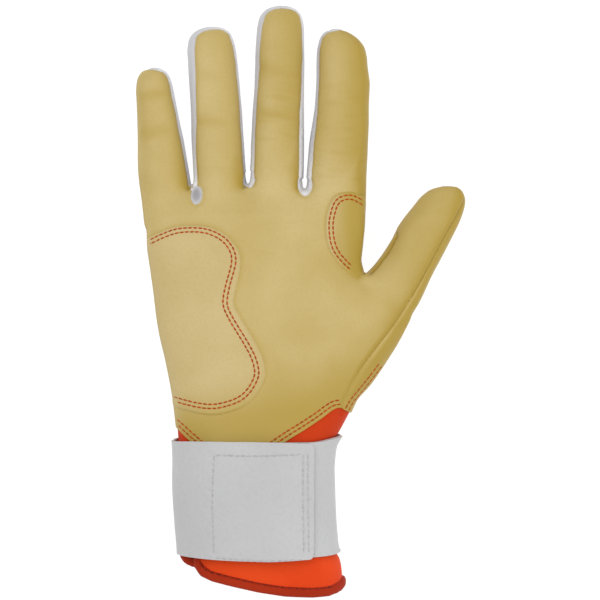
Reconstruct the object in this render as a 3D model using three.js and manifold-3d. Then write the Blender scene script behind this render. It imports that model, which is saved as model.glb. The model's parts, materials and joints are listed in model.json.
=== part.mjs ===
// Long-cuff batting glove for the right hand, lying on its back with the palm up.
// Millimetres. +X runs to the thumb, +Y to the fingertips, +Z out of the palm.
// "Ulnar" is the pinky side of a piece and "radial" is the thumb side.
import * as THREE from "three";
import { mergeVertices } from "three/addons/utils/BufferGeometryUtils.js";
import Module from "manifold-3d";

const wasm = await Module();
wasm.setup();

// Main sizes. Every x and width of the pattern below is in hundredths of the palm's width, and every y and
// length in hundredths of its length. Depths, thicknesses and sewing allowances are in millimetres.
const palmWidth = 100; // across the finger roots
const palmLength = 100; // from the wrist crease to the finger roots
const wide = (x) => (x * palmWidth) / 100;
const long = (y) => (y * palmLength) / 100;
const plan = (line) => line.map(([x, y]) => [wide(x), long(y)]);
const sizedDigit = (digit) => ({
  ...digit,
  length: long(digit.length),
  rootWidth: wide(digit.rootWidth),
  tipWidth: wide(digit.tipWidth),
  tipShift: wide(digit.tipShift),
});

// Materials' thicknesses
const leather = 1.2; // palm and finger leather on its lining
const patchLeather = 0.9; // sewn-on reinforcements
const cuffCloth = 2.2; // stretch cuff
const hemRoll = 0.5; // how far a hem stands proud of the cuff, inside and outside
const strapWeb = 1.3; // strap band and strap tab
const fastener = 0.8; // loop strip and hook strip, each
const seam = 0.3; // room left at every seam and between every two layers

// Fingers, from the pinky to the index. Each lies on the bench with its back flat.
// lean turns it to the pinky side and tipShift moves its rounded end to the thumb side. ulnarShow and
// radialShow are the widths of white side strip that show on the palm side.
const fingers = [
  {
    name: "pinky",
    rootY: long(48.5),
    lean: 6.3,
    length: 56.4,
    rootWidth: 23.4,
    tipWidth: 15.2,
    tipShift: 0.6,
    rootDepth: 19.5,
    tipDepth: 15,
    radialShow: 1.1,
  },
  {
    name: "ring",
    rootY: long(50.3),
    lean: 3.9,
    length: 72.2,
    rootWidth: 23,
    tipWidth: 20.8,
    tipShift: -0.8,
    rootDepth: 21,
    tipDepth: 17,
    ulnarShow: 3,
    radialShow: 1,
  },
  {
    name: "middle",
    rootY: long(51),
    lean: -1.6,
    length: 79.8,
    rootWidth: 23.6,
    tipWidth: 21.2,
    tipShift: -0.6,
    rootDepth: 21.5,
    tipDepth: 17.5,
    ulnarShow: 1.8,
    radialShow: 1.4,
  },
  {
    name: "index",
    rootY: long(49),
    lean: -3.2,
    length: 72,
    rootWidth: 26.6,
    tipWidth: 22.8,
    tipShift: -3,
    rootDepth: 21.5,
    tipDepth: 17.5,
    ulnarShow: 1.5,
  },
].map(sizedDigit);
const crotchGap = 1.1; // between two neighbouring fingers at their roots
const fingertipRound = 9; // length of the rounded end of a finger
const tipBluntness = 2.6; // exponent of the tip's rounding: 2 is a half circle
const backSeamRise = 0.3; // height of the seam round a finger's back, as a share of its depth at the root

// Thumb, which leans to +X
const thumb = sizedDigit({
  name: "thumb",
  root: [wide(39.8), long(6)],
  lean: -30.4,
  length: 52.5,
  rootWidth: 26.6,
  tipWidth: 20.5,
  tipShift: 4.5,
  rootDepth: 27,
  tipDepth: 17.5,
  ulnarShow: 1.4,
  outerStrip: 3.2, // the strip of the thumb's outer side that turns over to the palm side
  ball: long(38), // how far its form runs down into the ball of the thumb
  ballWidth: wide(22),
  ballDepth: 22,
  ballRise: 7, // and how far it leaves the bench there
});
// A place in plan given from the inner (-1) or outer (1) corner of the thumb's root
function fromThumb(side, x, y) {
  const [half, lean] = [(side * thumb.rootWidth) / 2, THREE.MathUtils.degToRad(thumb.lean)];
  return [thumb.root[0] + half * Math.cos(lean) + wide(x), thumb.root[1] + half * Math.sin(lean) + long(y)];
}

// Palm and wrist: the outer form at each height, from the finger roots down to the end of the cuff
const pinkyEdge = wide(-70.8); // outer edge of the pinky's root
const fingerRoots = long(53); // the palm's form runs up to here, past every finger's root
const sections = [
  { name: "mid palm", y: long(28), ulnar: wide(-67.4), radial: wide(27.6), depth: 28 },
  { name: "thumb web", y: long(13), ulnar: wide(-65.2), radial: fromThumb(-1, -1.1, 0)[0], depth: 30 },
  { name: "thumb root", y: long(2), ulnar: wide(-63.5), radial: wide(41), depth: 31.5 },
  { name: "ball of the thumb", y: long(-9), ulnar: wide(-61.8), radial: wide(46.8), depth: 33 },
  { name: "heel", y: long(-29), ulnar: wide(-57.6), radial: wide(35.2), depth: 36 },
  { name: "wrist crease", y: long(-46), ulnar: wide(-54.8), radial: wide(22.2), depth: 39.5 },
  { name: "strap top", y: long(-60), ulnar: wide(-53.9), radial: wide(15.4), depth: 41.5 },
  { name: "strap middle", y: long(-84), ulnar: wide(-53.9), radial: wide(13.6), depth: 42 },
  { name: "strap bottom", y: long(-107), ulnar: wide(-52.4), radial: wide(15.4), depth: 42.5 },
  { name: "cuff end", y: long(-132), ulnar: wide(-51.4), radial: wide(20), depth: 43.5 },
];
const palmRound = 2.3; // exponent of the sections on the palm side: 2 is an ellipse
const backRound = 3; // and on the back, which is flatter
const restFlat = 0.6; // how deep the bench flattens the back
const sideSeam = 9.5; // height of the seam between the palm leather and the back

// Edge of the palm leather over the cuff, in plan, from the pinky side round the tongue to the thumb side
const tongueEdge = plan([
  [-72, -47.5],
  [-57, -49],
  [-44, -58.5],
  [-35, -66],
  [-20, -66.5],
  [-8, -58],
  [8, -47.5],
  [24, -42],
]);
// Seam between the palm and the thumb side panel, in plan, from the thumb's root to the wrist
const thumbSeam = [
  fromThumb(1, 0.7, 8.7),
  ...plan([
    [43.5, -8],
    [33.5, -20],
    [25, -31],
    [20.5, -41],
    [19.5, -60],
  ]),
];
// Seam between the back and the thumb side panel, in plan
const thumbBackSeam = [
  fromThumb(-1, 2.7, 3.3),
  ...plan([
    [24, -4],
    [13, -28],
    [6, -60],
  ]),
];
const knuckleBand = [27, 44].map(long); // lower and upper edge of the stretch panel over the knuckles
const knuckleRibs = 5;
const ribDepth = 0.5; // how deep the grooves between the ribs are

// Crotch gussets between the finger roots: width across the glove and length down the palm
const gussets = [
  { name: "crotch_gusset_pinky_ring", width: 4.2, length: 8.5 },
  { name: "crotch_gusset_ring_middle", width: 3.6, length: 4.5 },
  { name: "crotch_gusset_middle_index", width: 4.6, length: 5.5 },
];

// Reinforcements, in plan. Their outer ends pass the edge of the hand and wrap over its side.
const heelPatchEdge = plan([
  [-78, 24],
  [-66, 29.5],
  [-54, 34],
  [-41, 34],
  [-30.5, 29.5],
  [-25.5, 20],
  [-27, 9],
  [-29.5, -1],
  [-25, -11.5],
  [-17.5, -23],
  [-15.3, -34],
  [-20.5, -43],
  [-33, -47.5],
  [-48, -46.5],
  [-58, -42],
  [-72, -36],
]);
const indexPatchEdge = plan([
  [40, 39],
  [29, 44],
  [20.5, 46.6],
  [14, 43.5],
  [11, 34],
  [12, 24],
  [17, 16.5],
  [26, 9.5],
  [40, 16],
]);
const patchSideSeam = 13; // height on the hand's side where the patches end

// Cuff: its lower edges as x and the drop below the strap tab. The front has a rounded corner at the slit.
const cuffFrontEnd = plan([
  [-46, -10],
  [-45.2, 2.4],
  [-41.5, 7.2],
  [-33, 10.4],
  [-14, 13.8],
  [4, 15.6],
  [14, 15],
  [40, 9],
]);
const cuffBackEnd = plan([
  [-60, 2.5],
  [25, 11],
]);
const cuffSeam = 21; // height of the cuff's side seam
const slitX = wide(-45.5); // the slit in the cuff, on the pinky side of its front
const slitWidth = 1.2;
const hemWidth = 5;

// Strap
const bandSpan = [-107.3, -58.3].map(long); // lower and upper edge of the band
const tabSpan = [-108.5, -60.3].map(long); // lower and upper edge of the tab
const bandEnd = wide(-37); // where the band's pinky-side end lies under the tab
const tabEnd = wide(4.5); // free end of the tab
const tabCorner = 3; // its rounded corners
const fastenerSpan = [-33, -1].map(wide); // pinky-side and thumb-side end of the hook and loop strips
const fastenerInset = 5; // their edges lie this far inside the tab's edges
const strapHinge = 21; // height on the wrist's pinky side where the tab is sewn to the band

// Facets
const handSides = 26;
const fingerSides = 16;
const tipRings = 3;
const tipFlat = 0.2; // the share of one more ring that stays as the blunt end of a tip
const lineSteps = 3; // along each stretch of a seam or edge
const arcSteps = 6; // along each arc of an outline
const far = 200; // larger than the glove: the reach of a cutting block

// Colours
const finish = (color, roughness) => new THREE.MeshStandardMaterial({ color, roughness, metalness: 0 });
const tan = finish(0xc9b171, 0.62);
const tanPatch = finish(0xd0bb84, 0.6);
const white = finish(0xd2d1d0, 0.6);
const orange = finish(0xd54419, 0.75);
const darkOrange = finish(0xa83116, 0.75);
const strapWhite = finish(0xc6c6c6, 0.55);
const loopGrey = finish(0x9a9a9a, 0.95);

const radians = THREE.MathUtils.degToRad;
const sum = (values) => values.reduce((total, value) => total + value, 0);

// A geometry becomes a solid for cutting and joining.
function solid(geometry) {
  geometry.deleteAttribute("normal");
  geometry.deleteAttribute("uv");
  const merged = mergeVertices(geometry);
  const mesh = new wasm.Mesh({
    numProp: 3,
    vertProperties: new Float32Array(merged.attributes.position.array),
    triVerts: new Uint32Array(merged.index.array),
  });
  return new wasm.Manifold(mesh);
}

// A solid becomes a named mesh. Of what a cut leaves, the largest body is the piece and the rest are offcuts.
function piece(name, cutOut, material) {
  const [body] = cutOut.decompose().sort((a, b) => b.volume() - a.volume());
  const { vertProperties, triVerts } = body.getMesh();
  const geometry = new THREE.BufferGeometry();
  geometry.setAttribute("position", new THREE.BufferAttribute(vertProperties, 3));
  geometry.setIndex(new THREE.BufferAttribute(triVerts, 1));
  geometry.computeVertexNormals();
  const mesh = new THREE.Mesh(geometry, material);
  mesh.name = name;
  return mesh;
}

const join = (...bodies) => bodies.reduce((whole, body) => whole.add(body));
const common = (...bodies) => bodies.reduce((whole, body) => whole.intersect(body));
const cut = (body, ...tools) => tools.reduce((rest, tool) => rest.subtract(tool), body);

// A block between two corners.
function block([x0, y0, z0], [x1, y1, z1]) {
  const geometry = new THREE.BoxGeometry(x1 - x0, y1 - y0, z1 - z0);
  return solid(geometry.translate((x0 + x1) / 2, (y0 + y1) / 2, (z0 + z1) / 2));
}
const above = (z) => block([-far, -far, z], [far, far, far]);
const below = (z) => block([-far, -far, -far], [far, far, z]);

// A plan outline raised through the whole height.
function planPrism(shape) {
  const options = { depth: 2 * far, bevelEnabled: false, curveSegments: arcSteps };
  return solid(new THREE.ExtrudeGeometry(shape, options).translate(0, 0, -far));
}

// A cutting block along a digit, from its root past its tip. `outline` gives its section for a share of the
// length as points in x and z, clockwise, so that a seam can follow the taper.
function alongDigit(digit, outline) {
  const [root, pastTip] = [0, 2];
  const section = (share) => outline(share).map(([x, z]) => [x, share * digit.length, z]);
  return loft([section(root), section(pastTip)]);
}

// The area to the left of a smooth plan line, closed through `corners` and grown by `grow` across the line.
function leftOf(line, corners, grow = 0) {
  const curve = new THREE.SplineCurve(line.map(([x, y]) => new THREE.Vector2(x, y)));
  const steps = line.length > 2 ? lineSteps * (line.length - 1) : 1;
  const outline = [];
  for (let step = 0; step <= steps; step++) {
    const tangent = curve.getTangent(step / steps);
    const outward = new THREE.Vector2(tangent.y, -tangent.x);
    outline.push(curve.getPoint(step / steps).addScaledVector(outward, grow));
  }
  corners.forEach(([x, y]) => outline.push(new THREE.Vector2(x, y)));
  return planPrism(new THREE.Shape(outline));
}

// The corners that close the area above a line that runs to +X, and the thumb side of a line that runs down.
const upwards = (line) => [
  [far, line.at(-1)[1]],
  [far, far],
  [-far, far],
  [-far, line[0][1]],
];
const thumbwards = (line) => [
  [far, line.at(-1)[1]],
  [far, line[0][1]],
];

// A closed smooth plan outline whose last and first points join straight.
function patchPrism(line) {
  const curve = new THREE.SplineCurve(line.map(([x, y]) => new THREE.Vector2(x, y)));
  return planPrism(new THREE.Shape(curve.getPoints(lineSteps * line.length)));
}

// A loft through rings of equal length, closed at both ends by flat fans.
function loft(rings) {
  const sides = rings[0].length;
  const points = rings.flat();
  const faces = [];
  for (let r = 0; r + 1 < rings.length; r++) {
    for (let s = 0; s < sides; s++) {
      const a = r * sides + s;
      const b = r * sides + ((s + 1) % sides);
      faces.push(a, b, a + sides, b, b + sides, a + sides);
    }
  }
  const last = (rings.length - 1) * sides;
  for (let s = 1; s + 1 < sides; s++) {
    faces.push(0, s + 1, s);
    faces.push(last, last + s, last + s + 1);
  }
  const geometry = new THREE.BufferGeometry();
  geometry.setAttribute("position", new THREE.Float32BufferAttribute(points.flat(), 3));
  geometry.setIndex(faces);
  return solid(geometry);
}

// One rounded section at height y: x from left to right, z from low to high.
function ring(y, { left, right, low, high }, sides) {
  const rounded = (value, exponent) => Math.sign(value) * Math.abs(value) ** (2 / exponent);
  const points = [];
  for (let s = 0; s < sides; s++) {
    const angle = (-2 * Math.PI * s) / sides;
    const exponent = Math.sin(angle) < 0 ? backRound : palmRound;
    const x = (left + right) / 2 + ((right - left) / 2) * rounded(Math.cos(angle), exponent);
    const z = (low + high) / 2 + ((high - low) / 2) * rounded(Math.sin(angle), exponent);
    points.push([x, y, z]);
  }
  return points;
}

// Form of one finger or the thumb in its own frame: the hinge at the origin, the finger along +Y, its palm
// side at -seam. `inset` is how far the form lies inside the outer one.
function digitForm(digit, inset) {
  const bench = -digit.rootDepth - seam;
  const straight = digit.length - fingertipRound;
  const sized = (y, width, depth, full, rise = 0) => ({
    y,
    left: digit.tipShift * (1 - full) - (width / 2) * full,
    right: digit.tipShift * (1 - full) + (width / 2) * full,
    middle: bench + rise + depth / 2 - restFlat / 2,
    half: ((depth + restFlat) / 2) * full,
  });
  const tapered = (y) => {
    const share = Math.max(0, y) / digit.length;
    const width = THREE.MathUtils.lerp(digit.rootWidth, digit.tipWidth, share);
    const depth = THREE.MathUtils.lerp(digit.rootDepth, digit.tipDepth, share);
    return [width, depth];
  };
  const stations = [];
  if (digit.ball) stations.push(sized(-digit.ball, digit.ballWidth, digit.ballDepth, 1, digit.ballRise));
  else stations.push(sized(-2 * leather, ...tapered(0), 1));
  for (const y of [0, straight / 2, straight]) stations.push(sized(y, ...tapered(y), 1));
  for (let step = 1; step <= tipRings; step++) {
    const angle = (step / (tipRings + tipFlat)) * (Math.PI / 2);
    const y = straight + (fingertipRound - inset) * Math.sin(angle) ** (2 / tipBluntness);
    stations.push(sized(y, ...tapered(y), Math.cos(angle) ** (2 / tipBluntness)));
  }
  const rings = stations.map(({ y, left, right, middle, half }) => {
    const shrink = Math.min(inset, 0.9 * half);
    const [low, high] = [middle - half + shrink, middle + half - shrink];
    return ring(y, { left: left + shrink, right: right - shrink, low, high }, fingerSides);
  });
  return common(loft(rings), above(bench + inset));
}

// Form of the palm and cuff, `grow` larger than the outer form on every side, or by its own amount on the
// pinky side. It begins as wide as the fingers' roots side by side.
function handForm(grow, ulnarGrow = grow) {
  const rootWidths = sum(fingers.map((finger) => finger.rootWidth));
  const radial = pinkyEdge + rootWidths + crotchGap * (fingers.length - 1);
  const knuckles = { y: fingerRoots, ulnar: pinkyEdge, radial, depth: fingers.at(-1).rootDepth };
  const stations = [knuckles, ...sections];
  const heights = stations.map((station) => -station.y);
  const values = stations.flatMap(({ ulnar, radial, depth, y }) => [ulnar, radial, depth, benchRise(y)]);
  const smooth = new THREE.CubicInterpolant(heights, values, 4);
  const rings = [];
  for (let s = 0; s + 1 < stations.length; s++) {
    for (const share of [0, 0.5]) rings.push(THREE.MathUtils.lerp(heights[s], heights[s + 1], share));
  }
  rings.push(heights.at(-1));
  const section = (height) => {
    const [ulnarEdge, radialEdge, depth, rise] = smooth.evaluate(height);
    const [left, right] = [ulnarEdge - ulnarGrow, radialEdge + grow];
    return ring(-height, { left, right, low: rise - restFlat - grow, high: depth + grow }, handSides);
  };
  return common(loft(rings.reverse().map(section)), above(Math.max(0, -grow)));
}

// The cuff stands clear of the bench by the strap band that passes under it.
function benchRise(y) {
  const heightOf = (name) => sections.find((section) => section.name === name).y;
  const share = THREE.MathUtils.smoothstep(-y, -heightOf("heel"), -heightOf("strap top"));
  return (strapWeb + seam + restFlat) * share;
}

// A digit's frame: its group sits on the hinge.
function digitGroup(digit, x, y) {
  const group = new THREE.Group();
  group.position.set(x, y, digit.rootDepth + seam);
  group.rotation.z = radians(digit.lean);
  group.updateMatrix();
  return group;
}
const inGlove = (body, group) => body.transform(group.matrix.elements);

// Height of a digit's lengthwise seam at a share of its length, in the digit's frame. The seam lies on the
// palm side, where a side strip of the shown width ends, or on the back.
function seamHeight(digit, length, show) {
  const depth = THREE.MathUtils.lerp(digit.rootDepth, digit.tipDepth, length);
  const backRise = 2 * backSeamRise - 1;
  const palmRise = (1 - (1 - (2 * show) / digit.rootWidth) ** palmRound) ** (1 / palmRound);
  return (depth / 2) * (1 + (show ? palmRise : backRise)) - digit.rootDepth - seam;
}

// The panels of a finger: front, back and the side strips between its neighbours. A side without a strip is
// covered by the front, which wraps round it.
function fingerPanels(finger) {
  const shell = cut(digitForm(finger, 0), digitForm(finger, leather));
  const sides = { ulnar: finger.ulnarShow ?? 0, radial: finger.radialShow ?? 0 };
  const frontSide = alongDigit(finger, (length) => {
    const [ulnar, radial] = [sides.ulnar, sides.radial].map((show) => seamHeight(finger, length, show));
    return [
      [-far, far],
      [far, far],
      [far, radial + seam],
      [seam, radial + seam],
      [-seam, ulnar + seam],
      [-far, ulnar + seam],
    ];
  });
  const backSide = alongDigit(finger, (length) => {
    const top = seamHeight(finger, length, 0);
    return [
      [-far, top],
      [far, top],
      [far, -far],
      [-far, -far],
    ];
  });
  const panels = [
    piece(`${finger.name}_front`, common(shell, frontSide), tan),
    piece(`${finger.name}_back`, common(shell, backSide), white),
  ];
  for (const [side, show] of Object.entries(sides)) {
    if (!show) continue;
    const [left, right] = side === "ulnar" ? [-far, -2 * seam] : [2 * seam, far];
    const strip = alongDigit(finger, (length) => {
      const [low, high] = [seamHeight(finger, length, 0) + seam, seamHeight(finger, length, show)];
      return [
        [left, high],
        [right, high],
        [right, low],
        [left, low],
      ];
    });
    panels.push(piece(`${finger.name}_fourchette_${side}`, common(shell, strip), white));
  }
  return panels;
}

// The thumb's panels: front, gusset on its inner side, and the back, which turns over the outer side to the
// palm side.
function thumbPanels() {
  const shell = cut(digitForm(thumb, 0), digitForm(thumb, leather));
  const taper = (length) => THREE.MathUtils.lerp(thumb.rootWidth, thumb.tipWidth, length) / 2;
  const front = alongDigit(thumb, (length) => {
    const turn = taper(length) - thumb.outerStrip;
    const gussetTop = seamHeight(thumb, length, thumb.ulnarShow) + seam;
    return [
      [-far, far],
      [turn - seam, far],
      [turn - seam, gussetTop],
      [-far, gussetTop],
    ];
  });
  const gusset = alongDigit(thumb, (length) => {
    const [low, high] = [seamHeight(thumb, length, 0) + seam, seamHeight(thumb, length, thumb.ulnarShow)];
    return [
      [-far, high],
      [-seam, high],
      [-seam, low],
      [-far, low],
    ];
  });
  const back = alongDigit(thumb, (length) => {
    const turn = taper(length) - thumb.outerStrip;
    const gussetTop = seamHeight(thumb, length, thumb.ulnarShow);
    const low = seamHeight(thumb, length, 0);
    return [
      [turn, far],
      [far, far],
      [far, -far],
      [-far, -far],
      [-far, low],
      [0, low],
      [0, gussetTop],
      [turn, gussetTop],
    ];
  });
  return [
    piece("thumb_front", common(shell, front), tan),
    piece("thumb_back", common(shell, back), tan),
    piece("thumb_gusset", common(shell, gusset), tan),
  ];
}

const glove = new THREE.Group();

// Fingers side by side from the pinky's outer edge
const fingerGroups = [];
const crotches = [];
let edge = pinkyEdge;
for (const finger of fingers) {
  const group = digitGroup(finger, edge + finger.rootWidth / 2, finger.rootY);
  group.add(...fingerPanels(finger));
  glove.add(group);
  fingerGroups.push(group);
  edge += finger.rootWidth + crotchGap;
  crotches.push(edge - crotchGap / 2);
}
const thumbGroup = digitGroup(thumb, ...thumb.root);
thumbGroup.add(...thumbPanels());
glove.add(thumbGroup);

// The hand's shell: palm and ball of the thumb outside, less the room inside
const thumbOuter = inGlove(digitForm(thumb, 0), thumbGroup);
const thumbInner = inGlove(digitForm(thumb, leather), thumbGroup);
const handOuter = handForm(0);
const shell = cut(join(handOuter, thumbOuter), handForm(-leather), thumbInner);

// What is cut away where the digits begin
const digitRooms = [];
fingers.forEach((finger, index) => {
  const half = finger.rootWidth / 2 + crotchGap;
  digitRooms.push(inGlove(block([-half, -seam, -far], [half, far, far]), fingerGroups[index]));
});
const thumbHalf = thumb.rootWidth / 2;
digitRooms.push(inGlove(block([-thumbHalf - crotchGap, -seam, -far], [far, far, far]), thumbGroup));

// Crotch gussets: a rounded post between each two finger roots
const rootEnd = (index, side) => {
  const { rootY, rootWidth, lean } = fingers[index];
  return rootY + side * (rootWidth / 2) * Math.sin(radians(lean));
};
const gussetCuts = gussets.map(({ name, width, length }, index) => {
  const top = Math.min(rootEnd(index, 1), rootEnd(index + 1, -1)) - 2 * seam;
  const outline = (grow) => {
    const shape = new THREE.Shape();
    shape.absellipse(crotches[index], top - length / 2, width / 2 + grow, length / 2 + grow, 0, 2 * Math.PI);
    return planPrism(shape);
  };
  const post = cut(common(handOuter, outline(0), above(sideSeam)), handForm(-2 * leather));
  glove.add(piece(name, post, white));
  return outline(seam);
});

// Leather and cuff meet along the tongue's edge on the palm side, and along a straight line on the back.
const backEdge = [tongueEdge[0], tongueEdge.at(-1)];
const leatherArea = (grow) => {
  const palmSide = common(leftOf(tongueEdge, upwards(tongueEdge), grow), above(sideSeam));
  const backSide = common(leftOf(backEdge, upwards(backEdge), grow), below(sideSeam));
  return join(palmSide, backSide);
};
const thumbSide = (grow) => {
  const front = common(leftOf(thumbSeam, thumbwards(thumbSeam), grow), above(sideSeam));
  const back = common(leftOf(thumbBackSeam, thumbwards(thumbBackSeam), grow), below(sideSeam));
  return join(front, back);
};
const handLeather = cut(common(shell, leatherArea(0)), ...digitRooms);
const frontLeather = cut(common(handLeather, above(sideSeam)), thumbSide(seam));
const backLeather = cut(common(handLeather, below(sideSeam - seam)), thumbSide(seam));
glove.add(piece("palm_panel", cut(frontLeather, ...gussetCuts), tan));
glove.add(piece("thumb_side_panel", common(handLeather, thumbSide(0)), tan));

// Back of the hand, with the ribbed stretch panel over the knuckles
const [bandLow, bandHigh] = knuckleBand;
const ribPitch = (bandHigh - bandLow) / knuckleRibs;
const grooves = [];
for (let rib = 1; rib < knuckleRibs; rib++) {
  const y = bandLow + rib * ribPitch;
  grooves.push(block([-far, y - ribPitch / 6, -far], [far, y + ribPitch / 6, ribDepth]));
}
const knuckles = common(backLeather, block([-far, bandLow, -far], [far, bandHigh, far]));
glove.add(piece("knuckle_panel", cut(knuckles, ...grooves), white));
const lowerBack = block([-far, -far, -far], [far, bandLow - seam, far]);
glove.add(piece("back_panel", common(backLeather, lowerBack), white));
const upperBack = block([-far, bandHigh + seam, -far], [far, far, far]);
glove.add(piece("knuckle_yoke", common(backLeather, upperBack), white));

// Reinforcements lie on the palm.
const palmForm = (grow) => join(handForm(grow), inGlove(digitForm(thumb, -grow), thumbGroup));
const patchLayer = cut(palmForm(seam + patchLeather), palmForm(seam), ...digitRooms);
const patches = [
  ["heel_patch", heelPatchEdge],
  ["index_patch", indexPatchEdge],
];
for (const [name, line] of patches) {
  glove.add(piece(name, common(patchLayer, patchPrism(line), above(patchSideSeam)), tanPatch));
}

// Cuff, open at the end and slit on the pinky side
const cuffShell = cut(handOuter, handForm(-cuffCloth), leatherArea(seam));
const hemShell = cut(handForm(hemRoll), handForm(-cuffCloth - hemRoll));
const frontHalf = common(above(cuffSeam), block([slitX, -far, -far], [far, far, far]));
const backHalf = join(below(cuffSeam - seam), block([-far, -far, -far], [slitX - slitWidth, far, far]));
const cuffs = [
  ["front", frontHalf, cuffFrontEnd],
  ["back", backHalf, cuffBackEnd],
];
const underStrap = (gap) => block([-far, tabSpan[0] - gap, -far], [far, far, far]);
for (const [side, half, drops] of cuffs) {
  const line = drops.map(([x, drop]) => [x, tabSpan[0] - drop]);
  const whole = common(half, leftOf(line, upwards(line)));
  const aboveHem = whole.translate([0, hemWidth, 0]).add(underStrap(0));
  const hemTop = whole.translate([0, hemWidth - seam, 0]).add(underStrap(seam));
  glove.add(piece(`cuff_${side}`, common(cuffShell, whole, aboveHem), orange));
  glove.add(piece(`hem_${side}`, cut(common(hemShell, whole), hemTop), darkOrange));
}

// Strap: the band lies on the cuff, then come the loop strip, the hook strip and the tab.
const bandInner = seam;
const bandOuter = bandInner + strapWeb;
const loopInner = bandOuter + seam;
const loopOuter = loopInner + fastener;
const hookInner = loopOuter + seam;
const hookOuter = hookInner + fastener;
const tabInner = hookOuter + seam;
const tabOuter = tabInner + strapWeb;
const spanBlock = ([y0, y1], x0, x1, z0, z1) => block([x0, y0, z0], [x1, y1, z1]);
const bandWhole = cut(handForm(bandOuter), handForm(bandInner));
const bandOpening = spanBlock([-far, far], -far, bandEnd, strapHinge - seam, far);
const band = cut(common(bandWhole, spanBlock(bandSpan, -far, far, -far, far)), bandOpening);
glove.add(piece("strap_band", band, strapWhite));

const fastenerY = [tabSpan[0] + fastenerInset, tabSpan[1] - fastenerInset];
const fastenerArea = spanBlock(fastenerY, ...fastenerSpan, strapHinge, far);
glove.add(piece("loop_strip", common(cut(handForm(loopOuter), handForm(loopInner)), fastenerArea), loopGrey));

const tabGroup = new THREE.Group();
const tabOutline = new THREE.Shape();
tabOutline.moveTo(-far, tabSpan[0]);
tabOutline.lineTo(tabEnd - tabCorner, tabSpan[0]);
tabOutline.absarc(tabEnd - tabCorner, tabSpan[0] + tabCorner, tabCorner, -Math.PI / 2, 0);
tabOutline.absarc(tabEnd - tabCorner, tabSpan[1] - tabCorner, tabCorner, 0, Math.PI / 2);
tabOutline.lineTo(-far, tabSpan[1]);
const tabLayer = cut(handForm(tabOuter, bandOuter), handForm(tabInner, bandInner));
const tab = common(tabLayer, planPrism(tabOutline), above(strapHinge));
const hook = common(cut(handForm(hookOuter, bandInner - seam), handForm(hookInner)), fastenerArea);
const [hingeX] = tab.boundingBox().min;
tabGroup.position.set(hingeX, (tabSpan[0] + tabSpan[1]) / 2, strapHinge);
const tabPlace = tabGroup.position.clone().negate().toArray();
tabGroup.add(piece("strap_tab", tab.translate(tabPlace), strapWhite));
tabGroup.add(piece("hook_strip", hook.translate(tabPlace), loopGrey));
glove.add(tabGroup);

// The origin lies on the bench, below the middle of the glove.
const box = new THREE.Box3().setFromObject(glove);
const middle = box.getCenter(new THREE.Vector3());
glove.children.forEach((child) => child.position.sub(new THREE.Vector3(middle.x, middle.y, box.min.z)));

export default glove;
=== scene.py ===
# %% [markdown]
# # A batting glove, sewn panel by panel
# The glove lies on its back with the palm up. Its leather is soft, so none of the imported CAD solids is
# shown as it is: they give every size and place, and each one is replaced by a sewn piece. A glovemaker
# shapes leather over a form called a last. This lesson does the same: it makes one smooth last from the
# CAD's own sections, shapes folds and seams into it, and then cuts each panel out of it.

# %% Load the frame
import json
import math

import bmesh
import bpy
import numpy as np
from mathutils import Matrix, Vector
from mathutils.bvhtree import BVHTree


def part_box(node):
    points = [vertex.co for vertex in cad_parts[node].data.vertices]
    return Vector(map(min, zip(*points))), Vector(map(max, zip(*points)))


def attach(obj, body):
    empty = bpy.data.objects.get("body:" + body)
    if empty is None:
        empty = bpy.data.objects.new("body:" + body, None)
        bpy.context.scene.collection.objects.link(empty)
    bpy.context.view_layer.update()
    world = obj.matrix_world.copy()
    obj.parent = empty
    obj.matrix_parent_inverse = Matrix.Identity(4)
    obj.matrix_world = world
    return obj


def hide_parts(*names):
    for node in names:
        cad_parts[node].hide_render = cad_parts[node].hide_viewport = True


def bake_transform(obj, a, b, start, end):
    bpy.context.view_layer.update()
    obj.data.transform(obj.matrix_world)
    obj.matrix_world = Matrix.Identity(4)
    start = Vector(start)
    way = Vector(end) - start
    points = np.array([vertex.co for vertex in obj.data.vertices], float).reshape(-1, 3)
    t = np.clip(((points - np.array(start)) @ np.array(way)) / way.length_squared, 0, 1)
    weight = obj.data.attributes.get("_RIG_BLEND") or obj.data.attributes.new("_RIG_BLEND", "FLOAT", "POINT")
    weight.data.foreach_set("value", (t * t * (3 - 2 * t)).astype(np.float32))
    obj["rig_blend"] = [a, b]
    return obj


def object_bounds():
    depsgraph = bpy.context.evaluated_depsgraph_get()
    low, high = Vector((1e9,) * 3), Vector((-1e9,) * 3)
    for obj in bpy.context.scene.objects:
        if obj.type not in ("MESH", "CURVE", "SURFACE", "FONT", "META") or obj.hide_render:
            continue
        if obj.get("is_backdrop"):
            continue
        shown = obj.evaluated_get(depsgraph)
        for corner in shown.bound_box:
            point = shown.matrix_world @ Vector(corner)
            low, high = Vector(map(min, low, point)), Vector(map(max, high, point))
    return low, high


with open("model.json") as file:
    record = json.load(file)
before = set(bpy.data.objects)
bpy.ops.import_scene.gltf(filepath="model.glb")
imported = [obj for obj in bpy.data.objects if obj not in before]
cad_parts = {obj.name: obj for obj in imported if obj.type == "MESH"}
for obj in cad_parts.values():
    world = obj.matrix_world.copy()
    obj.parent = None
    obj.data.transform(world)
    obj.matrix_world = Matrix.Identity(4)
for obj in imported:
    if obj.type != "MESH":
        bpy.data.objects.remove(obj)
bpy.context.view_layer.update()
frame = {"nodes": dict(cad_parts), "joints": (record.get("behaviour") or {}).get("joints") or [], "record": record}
nodes = frame["nodes"]
joints = {joint["child"]: joint for joint in frame["joints"]}
MM = 0.001

# %% [markdown]
# ## Camera
# The photograph looks straight down at the palm. The strap's straight edges bow in it as they do from about
# 0.8 m, so the camera hangs there. It comes first because some seams are placed by where the photograph
# shows them: a line of sight from the camera finds their place on the leather.

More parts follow.
